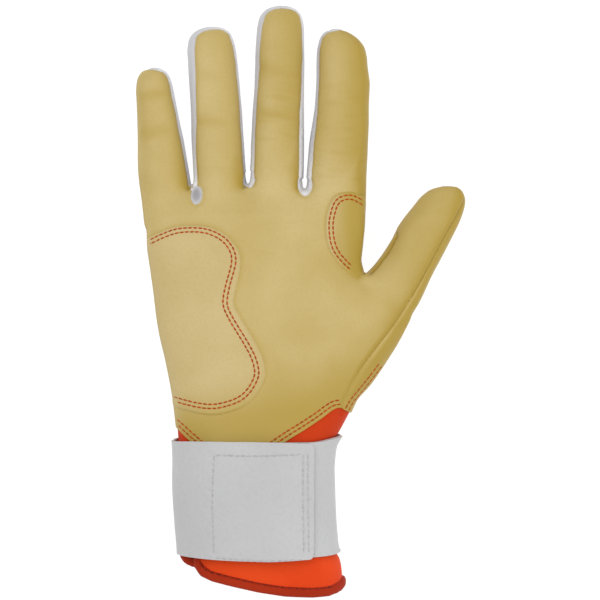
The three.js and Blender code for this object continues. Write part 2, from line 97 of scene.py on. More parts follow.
# %% Camera over the palm
CAMERA_PLACE = Vector((-0.4, -1.3, 800)) * MM
MM_PER_PIXEL = 0.44
SCALE_HEIGHT = 12  # millimetres above the bench where that scale holds
FRAME_PIXELS = 600
FILM_WIDTH = 36  # millimetres

camera_data = bpy.data.cameras.new("camera")
camera_data.sensor_width = FILM_WIDTH
view_width = FRAME_PIXELS * MM_PER_PIXEL * MM
camera_data.lens = FILM_WIDTH * (CAMERA_PLACE.z - SCALE_HEIGHT * MM) / view_width


def add_object(name, data):
    """A new object in the scene."""
    obj = bpy.data.objects.new(name, data)
    bpy.context.scene.collection.objects.link(obj)
    return obj


camera = add_object("camera", camera_data)
camera.location = CAMERA_PLACE
bpy.context.scene.camera = camera


def line_of_sight(pixel):
    """Direction from the camera through a pixel of the photograph."""
    right, down = (Vector(pixel) - Vector((FRAME_PIXELS, FRAME_PIXELS)) / 2) * MM_PER_PIXEL * MM
    return Vector((right, -down, SCALE_HEIGHT * MM - CAMERA_PLACE.z)).normalized()


print("lens:", round(camera_data.lens, 1), "mm")

# %% [markdown]
# ## The CAD's sections
# A slice through the CAD panels tells how wide and how deep the glove is there. Slices along each finger
# are taken in the finger's own frame: its hinge is the origin, `axis` runs to the thumb side and `ahead` to
# the fingertip. Working in millimetres keeps the numbers readable.

# %% Slice the CAD panels
def read_all(items, name, width, kind=float):
    """One property of all items of a mesh, a row for each item."""
    values = np.empty(len(items) * width, kind)
    items.foreach_get(name, values)
    return values.reshape(-1, width)


def triangles(names):
    """Corners of all triangles of these CAD nodes, in millimetres."""
    found = []
    for name in names:
        mesh = nodes[name].data
        mesh.calc_loop_triangles()
        corners = read_all(mesh.loop_triangles, "vertices", 3, int)
        found.append(read_all(mesh.vertices, "co", 3)[corners] / MM)
    return np.concatenate(found)


def slice_box(corners, place, origin, axis, ahead):
    """Left, right, low and high of the cut that a plane across `ahead` makes at `place`."""
    height = (corners - origin) @ ahead - place
    hits = []
    for a, b in ((0, 1), (1, 2), (2, 0)):
        crossed = height[:, a] * height[:, b] < 0
        share = (height[crossed, a] / (height[crossed, a] - height[crossed, b]))[:, None]
        hits.append(corners[crossed, a] * (1 - share) + corners[crossed, b] * share)
    hits = np.concatenate(hits) - origin
    across = hits @ axis
    return across.min(), across.max(), hits[:, 2].min(), hits[:, 2].max()


ORIGIN, X_AXIS, Y_AXIS = np.zeros(3), np.eye(3)[0], np.eye(3)[1]
palm_left, palm_right, *_ = slice_box(triangles(["palm_panel"]), 0, ORIGIN, X_AXIS, Y_AXIS)
print("the palm panel is", round(palm_right - palm_left, 1), "mm wide at the middle of the hand")

# %% [markdown]
# ## The digits
# A finger's leather is drawn a little past the solid's tip, and it is wider or narrower here and there, as
# the photograph shows. These small corrections are given for places along each form, in millimetres.

# %% Corrections to the forms
TIPS = {  # how far a tip is drawn out past its CAD section, and how much more of it per millimetre across
    "thumb": (1.2, 0.3),
    "ring": (0.1, 0.05),
    "middle": (0.9, 0.06),
    "index": (-0.1, -0.28),
}
TRIMS = {  # place along a form, millimetres off its left side, millimetres on to its right side
    "hand": ((-140, 1.5, 4.4), (-128, 1.5, 4.2), (-119, 1.5, 4.2), (-113.5, 1.5, 3.2), (-111, 1.5, 1),
             (-108, 1.5, 0), (-84, 0.9, 0), (-64, 0.9, -0.5), (-57, 0.4, 1), (-50, 0, 0.6), (-44, 0, -1),
             (-38, 0, 0), (-30, 0, -0.4), (-22, 0, -0.9), (-16, 0, 0), (-9, 0, 0.8), (-3, 0, 0),
             (27, 0, 0.3), (32, 1.5, 0.7), (46, 2.3, 0.8)),
    "pinky": ((0, 1.2, 0), (4, 0.7, 0), (10, 0, 0)),
    "thumb": ((0, 0, 0), (6, 1.2, 0), (14, 1.7, 0), (22, 1.3, 0), (25, 0.3, 0), (31, 0.5, 0), (40, 1.2, -0.2),
              (52, 2, -1.3)),
    "ring": ((15, 0, 0), (38, 0.1, 0.6), (52, 0, 0.2), (65, -0.2, -0.3)),
    "middle": ((35, 0, 0), (45, 0.5, 0), (55, 0.4, -0.3), (70, 0.3, -0.6)),
    "index": ((22, 0, 0), (38, 0.8, 0.1), (50, 0.6, 0.4), (60, 0.1, -0.9)),
}


def trims(name, places):
    """What a form's left and right sides give and take at places along it."""
    along, off_left, on_right = np.array(TRIMS.get(name, ((0, 0, 0),))).T
    return np.interp(places, along, off_left), np.interp(places, along, on_right)


def smooth_step(value, low, high):
    """0 at `low`, 1 at `high`, and a soft rise between them."""
    share = np.clip((value - low) / (high - low), 0, 1)
    return share * share * (3 - 2 * share)


print("corrected forms:", ", ".join(TRIMS))

# %% Sections of the digits
SECTIONS, CROWDING, LAST_GAP = 26, 1.7, 0.03  # of a digit; they crowd together towards its tip
ROOT_SECTION, TIP_SECTION = 0.8, 0.15  # millimetres past the root and before the tip
LEAN_FROM = 0.6  # share of a digit's length where its tip starts to lean
LEAN_BACK, LEAN_PAST = 3, 0.6  # millimetres that it may fall short, and draw out past its middle


class Digit:
    """A finger or the thumb: its hinge frame and its sections from the root to the tip."""

    def __init__(self, name):
        joint = joints[name]
        self.name = name
        self.hinge = np.array(joint["pos_m"]) / MM
        self.axis = np.array(joint["axis"])
        self.ahead = np.array((-self.axis[1], self.axis[0], 0))
        self.panels = frame["record"]["behaviour"]["bodies"][name]
        corners = triangles(self.panels)
        self.length = ((corners.reshape(-1, 3) - self.hinge) @ self.ahead).max()
        self.places = self.length - self.length * np.linspace(1, LAST_GAP, SECTIONS) ** CROWDING
        self.places[0] = ROOT_SECTION
        self.places[-1] = self.length - TIP_SECTION
        cuts = [slice_box(corners, place, self.hinge, self.axis, self.ahead) for place in self.places]
        self.left, self.right, self.low, self.high = np.array(cuts).T
        off_left, on_right = trims(name, self.places)
        self.left += off_left
        self.right += on_right

    def lean(self, across, along):
        """How far the tip is drawn out, more on one side than on the other."""
        reach, slant = TIPS.get(self.name, (0, 0))
        drawn_out = np.clip(reach + slant * across, -LEAN_BACK, reach + LEAN_PAST)
        return smooth_step(along / self.length, LEAN_FROM, 1) * drawn_out

    def local(self, points):
        """A point's place across, along and above the digit's hinge, as it was before the tip leaned."""
        away = points - self.hinge
        across, along = away @ self.axis, away @ self.ahead
        return across, along - self.lean(across, along - self.lean(across, along)), away[:, 2]

    def at(self, values, along):
        """A section measure at places along the digit."""
        return np.interp(along, self.places, values)

    def sides(self, along):
        """Left and right of the digit at places along it."""
        return self.at(self.left, along), self.at(self.right, along)


fingers = [Digit(name) for name in ("pinky", "ring", "middle", "index")]
thumb = Digit("thumb")
digits = fingers + [thumb]
digit_named = {digit.name: digit for digit in digits}
print("digit lengths in mm:", {digit.name: round(digit.length, 1) for digit in digits})

# %% [markdown]
# ## The last
# Each section becomes a rounded ring, flatter on the back than on the palm, and rings are extruded into
# each other to make a smooth form for every digit and for the hand. Voxel remeshing joins the forms into
# one skin. It would close the narrow gaps between the finger roots, so the forms start a little too thin,
# and the skin is pushed out again afterwards.

# %% Loft rings into forms
RING_SIDES = 56
PALM_ROUND = 2.6  # exponent of the rounding: 2 is an ellipse
BACK_ROUND = 3
SLACK = 0.55
ROOT_REACH = 13  # how far a digit's form runs down into the palm
REAR_LIFT = 7  # and how far its back rises there into the back of the hand


def ring_point(box, turn):
    """A point across and up on a rounded section."""
    left, right, low, high = box
    across, up = math.cos(turn), math.sin(turn)
    power = 2 / (PALM_ROUND if up > 0 else BACK_ROUND)
    half_width, half_depth = (right - left) / 2 - SLACK, (high - low) / 2 - SLACK
    return (
        (left + right) / 2 + half_width * math.copysign(abs(across) ** power, across),
        (low + high) / 2 + half_depth * math.copysign(abs(up) ** power, up),
    )


def loft(bm, stations, origin, axis, ahead):
    """Extrudes a ring from station to station and closes both ends."""
    turn = bm.verts.layers.float.get("turn") or bm.verts.layers.float.new("turn")
    ring = bmesh.ops.create_circle(bm, segments=RING_SIDES, radius=1)["verts"]
    for vert in ring:
        vert[turn] = math.atan2(vert.co.y, vert.co.x)
    edges = list({edge for vert in ring for edge in vert.link_edges})
    bmesh.ops.edgeloop_fill(bm, edges=edges)
    for index, (place, box) in enumerate(stations):
        if index:
            made = bmesh.ops.extrude_edge_only(bm, edges=edges)["geom"]
            ring = [part for part in made if isinstance(part, bmesh.types.BMVert)]
            edges = list({edge for vert in ring for edge in vert.link_edges if edge.other_vert(vert) in ring})
        for vert in ring:
            across, up = ring_point(box, vert[turn])
            vert.co = (origin + across * axis + place * ahead + np.array((0, 0, up))) * MM
    bmesh.ops.edgeloop_fill(bm, edges=edges)


forms = bmesh.new()
for digit in digits:
    boxes = list(zip(digit.left, digit.right, digit.low, digit.high))
    stations = list(zip(digit.places, boxes))
    for share in (0.25, 0.5, 0.75, 1):
        root_box = np.add(boxes[0], (0, 0, REAR_LIFT * share**2, 0))
        stations.insert(0, (-ROOT_REACH * share, root_box))
    loft(forms, stations, digit.hinge, digit.axis, digit.ahead)
print("forms of the digits:", len(forms.faces), "faces")

# %% Add the hand and the webs
HAND_NODES = ("palm_panel", "thumb_side_panel", "back_panel", "knuckle_panel", "knuckle_yoke", "cuff_front",
              "cuff_back")
HAND_PLACES = (46, 43, 40, 36, 30, 23, 16, 9, 3, -3, -9, -16, -22, -30, -38, -44, -50, -57, -64, -74, -84,
               -98, -108, -111, -113.5, -119, -128, -140)
HAND_FROM, HAND_TO = -108, 40  # past these places the form runs on with the last section
ROOT_TAPER = ((30, 0), (36, 0.4), (40, 1.2), (43, 2.4), (46, 4.2))  # how the palm thins into the finger roots
WEBS = (  # middles and half-sizes of the webs between the digits
    (29, 5.6, 20, 4.8, 4.6, 6.5),
    (-45.4, 47.4, 13, 2.6, 3.6, 6.5),
    (-22.3, 46.6, 13, 2.2, 3, 7.5),
    (2.6, 44.8, 13, 2.4, 2.5, 7.5),
)

hand_corners = triangles(HAND_NODES)
hand_stations = []
for place in HAND_PLACES:
    box = slice_box(hand_corners, min(max(place, HAND_FROM), HAND_TO), ORIGIN, X_AXIS, Y_AXIS)
    drop = np.interp(place, *np.array(ROOT_TAPER).T)
    hand_stations.append((place, np.add(box, (*trims("hand", place), 0, -drop))))
loft(forms, hand_stations, ORIGIN, X_AXIS, Y_AXIS)
for web in WEBS:
    matrix = Matrix.LocRotScale(Vector(web[:3]) * MM, None, Vector(web[3:]) * MM)
    bmesh.ops.create_uvsphere(forms, u_segments=24, v_segments=16, radius=1, matrix=matrix)
bmesh.ops.recalc_face_normals(forms, faces=forms.faces)
print("forms:", len(forms.faces), "faces")

# %% Join the forms into one skin
VOXEL = 0.8
SKIN_SMOOTHING = 14


def mesh_from(bm, name):
    mesh = bpy.data.meshes.new(name)
    bm.to_mesh(mesh)
    bm.free()
    return mesh


last = add_object("last", mesh_from(forms, "last"))
remesh = last.modifiers.new("one skin", "REMESH")
remesh.mode = "VOXEL"
remesh.voxel_size = VOXEL * MM
bpy.context.view_layer.update()
skin = bpy.data.meshes.new_from_object(last.evaluated_get(bpy.context.evaluated_depsgraph_get()))
bpy.data.objects.remove(last)
smoothed = bmesh.new()
smoothed.from_mesh(skin)
for _ in range(SKIN_SMOOTHING):
    bmesh.ops.smooth_vert(
        smoothed, verts=smoothed.verts, factor=0.5, use_axis_x=True, use_axis_y=True, use_axis_z=True
    )
smoothed.to_mesh(skin)
smoothed.free()
print("skin:", len(skin.vertices), "vertices")

# %% Push the skin out and lay it on the bench
EASE = 0.2  # makes up for what smoothing takes off
BENCH_FLAT = 0.7  # how far the glove's weight flattens its back
SOFT_DEPTH = 20  # and the depth that takes up the flattening


def read_vertices(mesh):
    """Places in millimetres and normals of a mesh's vertices."""
    return read_all(mesh.vertices, "co", 3) / MM, read_all(mesh.vertex_normals, "vector", 3)


def move_vertices(mesh, places):
    mesh.vertices.foreach_set("co", (places * MM).ravel())
    mesh.update()


places, normals = read_vertices(skin)
places += normals * (SLACK + EASE)
for digit in digits:
    away = places - digit.hinge
    across, along = away @ digit.axis, away @ digit.ahead
    beside = (across > digit.left.min() - 1) & (across < digit.right.max() + 1)
    places += digit.ahead * np.where(beside, digit.lean(across, along), 0)[:, None]
places[:, 2] = np.maximum(places[:, 2] - BENCH_FLAT * np.clip(1 - places[:, 2] / SOFT_DEPTH, 0, 1), 0)
move_vertices(skin, places)
print("last's box in mm:", places.min(0).round(1), places.max(0).round(1))

# %% [markdown]
# ## Lines on the last
# Every seam is the zero line of a field: a number for each vertex of the last, in millimetres, that is
# positive on one side of the seam and negative on the other. The smaller of two fields is positive only
# where both are, so a panel is the minimum of the fields round it. Seams that the photograph shows are
# given by the pixels they pass through, and a line of sight finds each pixel's place on the last.

# %% Find the places of pixels
def tree_of(mesh):
    return BVHTree.FromPolygons([v.co for v in mesh.vertices], [p.vertices for p in mesh.polygons])


skin_tree = tree_of(skin)


def sight(pixel, height=20):
    """Where the line of sight meets the last, or else the level at `height`."""
    direction = line_of_sight(pixel)
    hit = skin_tree.ray_cast(CAMERA_PLACE, direction)[0]
    if hit is None:
        hit = CAMERA_PLACE + direction * ((height * MM - CAMERA_PLACE.z) / direction.z)
    return np.array(hit) / MM


def smooth_line(points, steps=10):
    """A smooth curve through control points, as many short steps."""
    points = np.asarray(points, float)
    padded = np.vstack((2 * points[0] - points[1], points, 2 * points[-1] - points[-2]))
    share = np.linspace(0, 1, steps, endpoint=False)[:, None]
    spans = []
    for a, b, c, d in zip(padded, padded[1:], padded[2:], padded[3:]):
        bend = (2 * a - 5 * b + 4 * c - d) * share**2 + (3 * b - a - 3 * c + d) * share**3
        spans.append((2 * b + (c - a) * share + bend) / 2)
    return np.vstack((*spans, points[-1:]))


def seen_line(pixels):
    """A smooth curve on the last through pixels of the photograph."""
    return smooth_line([sight(pixel) for pixel in pixels])


def shifted(line, distance):
    """A line in plan moved to its left by a distance, or by one distance for each point."""
    run = np.gradient(line[:, :2], axis=0)
    run /= np.linalg.norm(run, axis=1)[:, None]
    left = np.stack((-run[:, 1], run[:, 0]), 1)
    return line[:, :2] + left * np.broadcast_to(distance, len(line))[:, None]


print("middle of the photograph lies at", sight((300, 300)).round(1))

# %% Measure from lines
FAR = 300  # millimetres


def soft_minimum(first, second, blend):
    """The smaller of two fields, with the corner between their zero lines rounded off."""
    share = np.clip(0.5 + (second - first) / (2 * blend), 0, 1)
    return second + (first - second) * share - blend * share * (1 - share)


def from_polyline(points, line):
    """Distance in plan to a polyline, and the share of its length at the nearest place."""
    starts, runs = line[:-1, :2], np.diff(line[:, :2], axis=0)
    lengths = np.linalg.norm(runs, axis=1)
    before = np.concatenate(((0,), np.cumsum(lengths)))
    nearest, share = np.full(len(points), float(FAR)), np.zeros(len(points))
    for start, run, length, passed in zip(starts, runs, lengths, before):
        along = np.clip(((points[:, :2] - start) @ run) / length**2, 0, 1)
        away = np.linalg.norm(points[:, :2] - start - along[:, None] * run, axis=1)
        closer = away < nearest
        nearest[closer] = away[closer]
        share[closer] = (passed + along[closer] * length) / before[-1]
    return nearest, share


print("a blend of 4 mm takes", -soft_minimum(0, 0, 4), "mm off a corner")

# %% Measure on either side of a line
OUTLINE_REACH = 12  # how far outside an outline its field is measured


def inside(points, outline):
    """True for points inside a closed plan outline, by counting the sides to their right."""
    found = np.zeros(len(points), bool)
    for (x0, y0), (x1, y1) in zip(outline, np.roll(outline, -1, axis=0)):
        crossed = (points[:, 1] > y0) != (points[:, 1] > y1)
        rise = y1 - y0 if y1 != y0 else 1
        found ^= crossed & (points[:, 0] < x0 + (x1 - x0) * (points[:, 1] - y0) / rise)
    return found


def within(points, outline):
    """Field that is positive inside a closed plan outline. Far from it, it stays at a constant."""
    field = np.full(len(points), -float(OUTLINE_REACH))
    low, high = outline.min(0) - OUTLINE_REACH, outline.max(0) + OUTLINE_REACH
    near = np.all((points[:, :2] > low) & (points[:, :2] < high), axis=1)
    closed = np.vstack((outline, outline[:1]))
    sign = np.where(inside(points[near], outline), 1, -1)
    field[near] = sign * from_polyline(points[near], closed)[0]
    return field


def over(points, line, value=1, by=0):
    """Field that is positive where one coordinate is larger than a line's at the other one."""
    line = line[np.argsort(line[:, by])]
    run = np.gradient(line[:, value], line[:, by])
    level = np.interp(points[:, by], line[:, by], line[:, value])
    slope = np.interp(points[:, by], line[:, by], run)
    return (points[:, value] - level) / np.sqrt(1 + slope**2)


LEVEL_LINE = np.array(((-1.0, 0.0), (1.0, 0.0)))
print("a point 3 mm over a level line has the value", over(np.array(((0.5, 3.0, 0.0),)), LEVEL_LINE)[0])

# %% [markdown]
# ### Finger seams
# Seen from the palm, a white strip of a few millimetres shows beside each finger's leather. The strip's
# width varies round the finger, so the front seam is measured in from the outline: above a finger's widest
# line by the distance in plan, below it by the height. On the outer sides of the pinky and the index finger
# there is no strip: past the fingertip's middle, the seam comes down and the leather wraps round the side.

# %% Fields of the digits
FRONT_SEAMS = {  # share of the way round the finger, and how much of the side strip shows there
    "pinky": ((0.4, 0.3), (0.45, 0.4), (0.52, 0.7), (0.62, 0.5), (0.7, 0.3), (1, 0.4)),
    "ring": ((0, 1.4), (0.12, 1.5), (0.2, 2.3), (0.3, 2.9), (0.43, 3.4), (0.48, 1.5), (0.53, 0.6),
             (0.65, 0.2), (1, 0.3)),
    "middle": ((0, 1.5), (0.2, 1), (0.35, 1.4), (0.43, 2.1), (0.48, 1), (0.55, 0.6), (0.67, 0.3), (0.77, 1),
               (0.86, 1.6), (1, 1.5)),
    "index": ((0, 1.8), (0.16, 1.4), (0.24, 0.7), (0.4, 0.6), (0.47, 0.8), (0.52, 0.4), (0.58, 0.3)),
    "thumb": ((0, 0.9), (0.14, 0.8), (0.185, 0.6), (0.21, -0.3), (0.27, -1), (1, -1)),
}
WRAPS = {"pinky": -1, "index": 1}  # to which side the leather wraps
WRAP_FROM, WRAP_TO = -4, 7  # where its seam starts down and where it is down, from the finger's middle line
WRAP_DROP = 7  # how far it comes down
WRAP_BLEND = 2  # and the half width in which one seam turns into the other
NEAR = 4  # how far outside a digit its fields are measured
BACK_SEAM = 0.3  # height of the seam round a digit's back, as a share of its depth
EDGE_BLEND = 2.5  # millimetres above the widest line in which the one measure turns into the other


def digit_fields(digit, points):
    """Fields of a digit: its front, its back, how far outside it a point lies, and the share round it."""
    across, along, up = digit.local(points)
    left, right = digit.sides(along)
    low, high = digit.at(digit.low, along), digit.at(digit.high, along)
    outside = np.maximum(left - across, across - right)
    rows = np.concatenate((digit.places, digit.places[::-1]))
    outline = np.stack((np.concatenate((digit.left, digit.right[::-1])), rows), 1)
    near = (along > -NEAR) & (outside < NEAR) & (along < digit.length + NEAR)
    inward, share = np.full(len(points), -float(FAR)), np.zeros(len(points))
    inward[near], share[near] = from_polyline(np.stack((across, along), 1)[near], outline)
    middle = (low + high) / 2
    inward = np.where(up > middle, inward * smooth_step(up - middle, 0, EDGE_BLEND), up - middle)
    shown = np.interp(share, *np.array(FRONT_SEAMS[digit.name]).T)
    back = low + BACK_SEAM * (high - low) - up
    front = inward - np.maximum(shown, back + up - middle)
    if digit.name in WRAPS:
        past_middle = WRAPS[digit.name] * (across - (left + right) / 2)
        wrapped = -back - WRAP_DROP * smooth_step(past_middle, WRAP_TO, WRAP_FROM)
        share_wrapped = smooth_step(past_middle, WRAP_FROM - WRAP_BLEND, WRAP_FROM + WRAP_BLEND)
        front = front * (1 - share_wrapped) + wrapped * share_wrapped
    return {
        "front": front,
        "back": back,
        "outside": outside,
        "share": share,
        "along": along,
        "across": across,
        "palm_side": np.clip((up - middle) / (high - middle), 0, 1) * near,
        "middle": up - middle,
    }


print("front seams of:", ", ".join(FRONT_SEAMS))

# %% Measure the digits
THUMB_EDGE = 1.1  # how far past its form the thumb's panels reach

points, normals = read_vertices(skin)
parts = {digit.name: digit_fields(digit, points) for digit in digits}
root_ends = [digit.hinge + side * digit.axis for digit in fingers for side in (digit.left[0], digit.right[0])]
past_roots = over(points, np.array(root_ends))
thumb_part = parts["thumb"]
in_thumb = np.minimum(thumb_part["along"], thumb_part["across"] - thumb.left[0] + THUMB_EDGE)
print("vertices past the finger roots:", int((past_roots > 0).sum()))

# %% [markdown]
# ### Seams of the hand
# The palm leather ends in a tongue over the cuff. A seam runs from the thumb's tip down to the wrist, and
# white gussets close the crotches between the fingers. Below the side seam the back of the hand begins.

# %% Fields of the hand
SIDE_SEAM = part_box("palm_panel")[0].z / MM
CUFF_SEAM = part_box("cuff_front")[0].z / MM
THUMB_SEAM = ((478, 180), (458, 214), (446.5, 234), (430, 265.5), (416.5, 290.5), (403.6, 311), (391, 329),
              (377, 347), (360, 370), (348.5, 393), (343, 410), (341, 450))
TONGUE_EDGE = ((150, 404), (166, 418.5), (177, 428.5), (186, 437.5), (194, 444.5), (212, 459), (238, 466),
               (262, 457), (288, 440), (305, 429.5), (320, 419.5), (330, 412), (336, 408.5), (341, 408),
               (347, 411), (360, 418))
GUSSETS = {  # middle and half-size in the photograph
    "crotch_gusset_pinky_ring": ((196.3, 194.5), (6, 9.8)),
    "crotch_gusset_ring_middle": ((248.5, 177), (5.4, 8.4)),
    "crotch_gusset_middle_index": ((305.2, 186), (6.2, 9.6)),
}
BACK_EDGE = np.array(((-90, -55.4), (-56, -52.6), (0, -48), (18, -49), (60, -56)))
THUMB_BACK_SEAM = np.array(((48, 60), (30.6, 12.6), (23.5, -7.4), (12.5, -31.4), (5.5, -63.4), (0, -90)))
SEAM_RISE = 24  # length in which the side seam rises to the fingers' back seams

height = points[:, 2]  # a view: what changes it moves the points
in_fingers = np.minimum(past_roots, -in_thumb)
in_hand = -np.maximum(in_fingers, in_thumb)
root_heights = []
for digit in fingers:
    low, high = digit.at(digit.low, 0), digit.at(digit.high, 0)
    root_heights.append(digit.hinge[2] + low * (1 - BACK_SEAM) + high * BACK_SEAM)
root_seam = np.interp(points[:, 0], [digit.hinge[0] for digit in fingers], root_heights)
on_palm = height - SIDE_SEAM - (root_seam - SIDE_SEAM) * smooth_step(past_roots, -SEAM_RISE, 0)
palm_of_thumb = -over(points, seen_line(THUMB_SEAM), value=0, by=1)
tongue_line = seen_line(TONGUE_EDGE)
over_tongue = over(points, tongue_line)
leather = np.where(on_palm > 0, over_tongue, over(points, BACK_EDGE))
back_of_thumb = over(points, THUMB_BACK_SEAM, value=0, by=1)
thumb_side = np.where(on_palm > 0, -palm_of_thumb, back_of_thumb)
gussets = {}
for name, (middle, half) in GUSSETS.items():
    offset = (points[:, :2] - sight(middle)[:2]) / (np.array(half) * MM_PER_PIXEL)
    gussets[name] = np.minimum((1 - np.linalg.norm(offset, axis=1)) * min(half) * MM_PER_PIXEL, on_palm)
in_gusset = np.max(list(gussets.values()), axis=0)
print("side seam at", round(SIDE_SEAM, 1), "mm, tongue down to", tongue_line[:, 1].min().round(1), "mm")

# %% Fields of the finger panels
SEAM_GAP = 0.02
panels = {}
for index, digit in enumerate(fingers):
    part = parts[digit.name]
    beside = fingers[max(index - 1, 0) : index + 2]
    neighbours = [parts[other.name]["outside"] for other in beside if other is not digit]
    closest = np.min([outside - part["outside"] for outside in neighbours], axis=0) / 2
    domain = np.min((in_fingers, closest, -in_gusset), axis=0)
    panels[f"{digit.name}_front"] = np.minimum(domain, part["front"] - SEAM_GAP)
    panels[f"{digit.name}_back"] = np.minimum(domain, part["back"] - SEAM_GAP)
    strip = np.min((domain, -part["front"] - SEAM_GAP, -part["back"] - SEAM_GAP), axis=0)
    strips = [side for side in ("ulnar", "radial") if f"{digit.name}_fourchette_{side}" in nodes]
    for side in strips:
        half = (0.5 - part["share"]) * digit.length * (1 if side == "ulnar" else -1)
        panels[f"{digit.name}_fourchette_{side}"] = np.minimum(strip, half) if len(strips) == 2 else strip
print(len(panels), "finger panels")

# %% Fields of the thumb and hand panels
THUMB_ROUND, THUMB_SHARP = 5, 0.1  # blends of the outer seam's turn, at the thumb's tip and elsewhere
TIP_FROM, TIP_TO = 12, 4  # millimetres before the thumb's end where the rounding starts, and where it is full
GUSSET_FROM, GUSSET_END = 0.2, 0.42  # shares of the way round the thumb where its gusset narrows, and ends
GUSSET_TAPER = 7  # how far it narrows
GUSSET_UNDER = 3.4  # a crotch gusset runs on this far under the leather round it, and down the crotch
GUSSET_LOWEST = 4

at_tip = smooth_step(thumb_part["along"], thumb.length - TIP_FROM, thumb.length - TIP_TO)
outer_seam = soft_minimum(palm_of_thumb, thumb_part["middle"], THUMB_SHARP + THUMB_ROUND * at_tip)
thumb_front = np.minimum(outer_seam, thumb_part["front"])
inner_side = (GUSSET_END - thumb_part["share"]) * thumb.length
taper = GUSSET_TAPER * smooth_step(thumb_part["share"], GUSSET_FROM, GUSSET_END)
thumb_gusset = np.min((-thumb_part["front"], -thumb_part["back"] - taper, inner_side), axis=0)
panels["thumb_front"] = np.minimum(in_thumb, thumb_front - SEAM_GAP)
panels["thumb_gusset"] = np.minimum(in_thumb, thumb_gusset - SEAM_GAP)
panels["thumb_back"] = np.minimum(in_thumb, -np.maximum(thumb_front, thumb_gusset) - SEAM_GAP)

for name, field in gussets.items():
    panels[name] = np.minimum(field + GUSSET_UNDER, height - GUSSET_LOWEST)
panels["palm_panel"] = np.min((in_hand, leather, -thumb_side, on_palm, -in_gusset), axis=0)
panels["thumb_side_panel"] = np.min((in_hand, leather, thumb_side), axis=0)
knuckle_low, knuckle_high = (corner.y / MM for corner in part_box("knuckle_panel"))
back = np.min((in_hand, leather, -thumb_side, -on_palm), axis=0)
panels["knuckle_yoke"] = np.minimum(back, points[:, 1] - knuckle_high)
panels["knuckle_panel"] = np.min((back, points[:, 1] - knuckle_low, knuckle_high - points[:, 1]), axis=0)
panels["back_panel"] = np.minimum(back, knuckle_low - points[:, 1])
print(len(panels), "leather panels")

# %% [markdown]
# ### Cuff and strap
# The stretch cuff is cut longer at the front, has a slit on the pinky side and ends in a rolled hem. It
# runs a little way under the leather. The strap's band goes round it, and the tab is pulled over the band's
# loop strip.

# %% Fields of the cuff
CUFF_UNDER = 4  # how far the cuff runs under the leather
CUFF_END = ((150, 545), (191.5, 556), (193, 567), (200, 576.5), (211, 581.8), (231, 587), (258, 593),
            (285, 597), (313.5, 598), (331, 596.3), (341, 592), (352, 584))
CUFF_HEIGHT = 30  # of its end over the bench
HEM_WIDTH = 4.2
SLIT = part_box("cuff_front")[0].x / MM
SLIT_LAP = 5  # how far the back runs under the front at the slit
BACK_END = np.array(((-75, -110), (-54, -111.6), (-48, -115.8), (-20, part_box("hem_back")[0].y / MM),
                     (17, -126.5), (40, -126)))

cuff_end_line = np.array([sight(pixel, CUFF_HEIGHT) for pixel in CUFF_END])
front_end, back_end = over(points, cuff_end_line), over(points, BACK_END)
front_half = np.minimum(height - CUFF_SEAM, points[:, 0] - SLIT)
back_half = -np.minimum(height - CUFF_SEAM, points[:, 0] - SLIT - SLIT_LAP)
not_leather = CUFF_UNDER - leather
for side, half, end in (("front", front_half, front_end), ("back", back_half, back_end)):
    panels[f"cuff_{side}"] = np.min((half, end - HEM_WIDTH, not_leather), axis=0)
    panels[f"hem_{side}"] = np.min((half, end, HEM_WIDTH - end, not_leather), axis=0)
print("the cuff's front ends at", cuff_end_line[:, 1].min().round(1), "mm")

# %% Fields of the strap
BAND_START = -37.4  # where the band begins under the tab
BAND_LAP = 0.3  # how far the tab laps over it at the side
BAND_RISE = 1.8  # the band's upper edge rides up towards the thumb
RISE_FROM, RISE_TO = 4, 18  # where
TAB_CORNER = 1.6
TAB_TOP = ((-80, -61.7), (10, -61.9))
TAB_FOOT = ((-80, -109.4), (-55, -109.9), (-30, -110.9), (10, -111.8))


def between(name, axis):
    """Field that is positive between a CAD node's ends along an axis."""
    low, high = (corner[axis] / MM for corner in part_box(name))
    return np.minimum(points[:, axis] - low, high - points[:, axis])


band_gap = np.minimum(BAND_START - points[:, 0], height - CUFF_SEAM + BAND_LAP)
band_low, band_high = (corner.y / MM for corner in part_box("strap_band"))
band_top = band_high + BAND_RISE * smooth_step(points[:, 0], RISE_FROM, RISE_TO) - points[:, 1]
panels["strap_band"] = np.min((points[:, 1] - band_low, band_top, -band_gap), axis=0)
tab_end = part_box("strap_tab")[1].x / MM - points[:, 0]
tab_edge = np.minimum(-over(points, np.array(TAB_TOP)), over(points, np.array(TAB_FOOT)))
rounded = TAB_CORNER - np.hypot(np.minimum(tab_end - TAB_CORNER, 0), np.minimum(tab_edge - TAB_CORNER, 0))
panels["strap_tab"] = np.min((rounded, tab_end, tab_edge, height - CUFF_SEAM), axis=0)
for name in ("loop_strip", "hook_strip"):
    panels[name] = np.min((between(name, 0), between(name, 1), height - CUFF_SEAM), axis=0)
print(len(panels), "panels with the cuff and the strap")

# %% [markdown]
# ### Patches
# A bat's knob rubs the heel of the hand and its handle the base of the index finger, so a second layer of
# leather is sewn on there with two rows of stitches. The outer row is what the photograph shows best; the
# patch's edge lies a little way outside it. Past the rows' ends the patches run on round the sides of the
# hand into the seams.

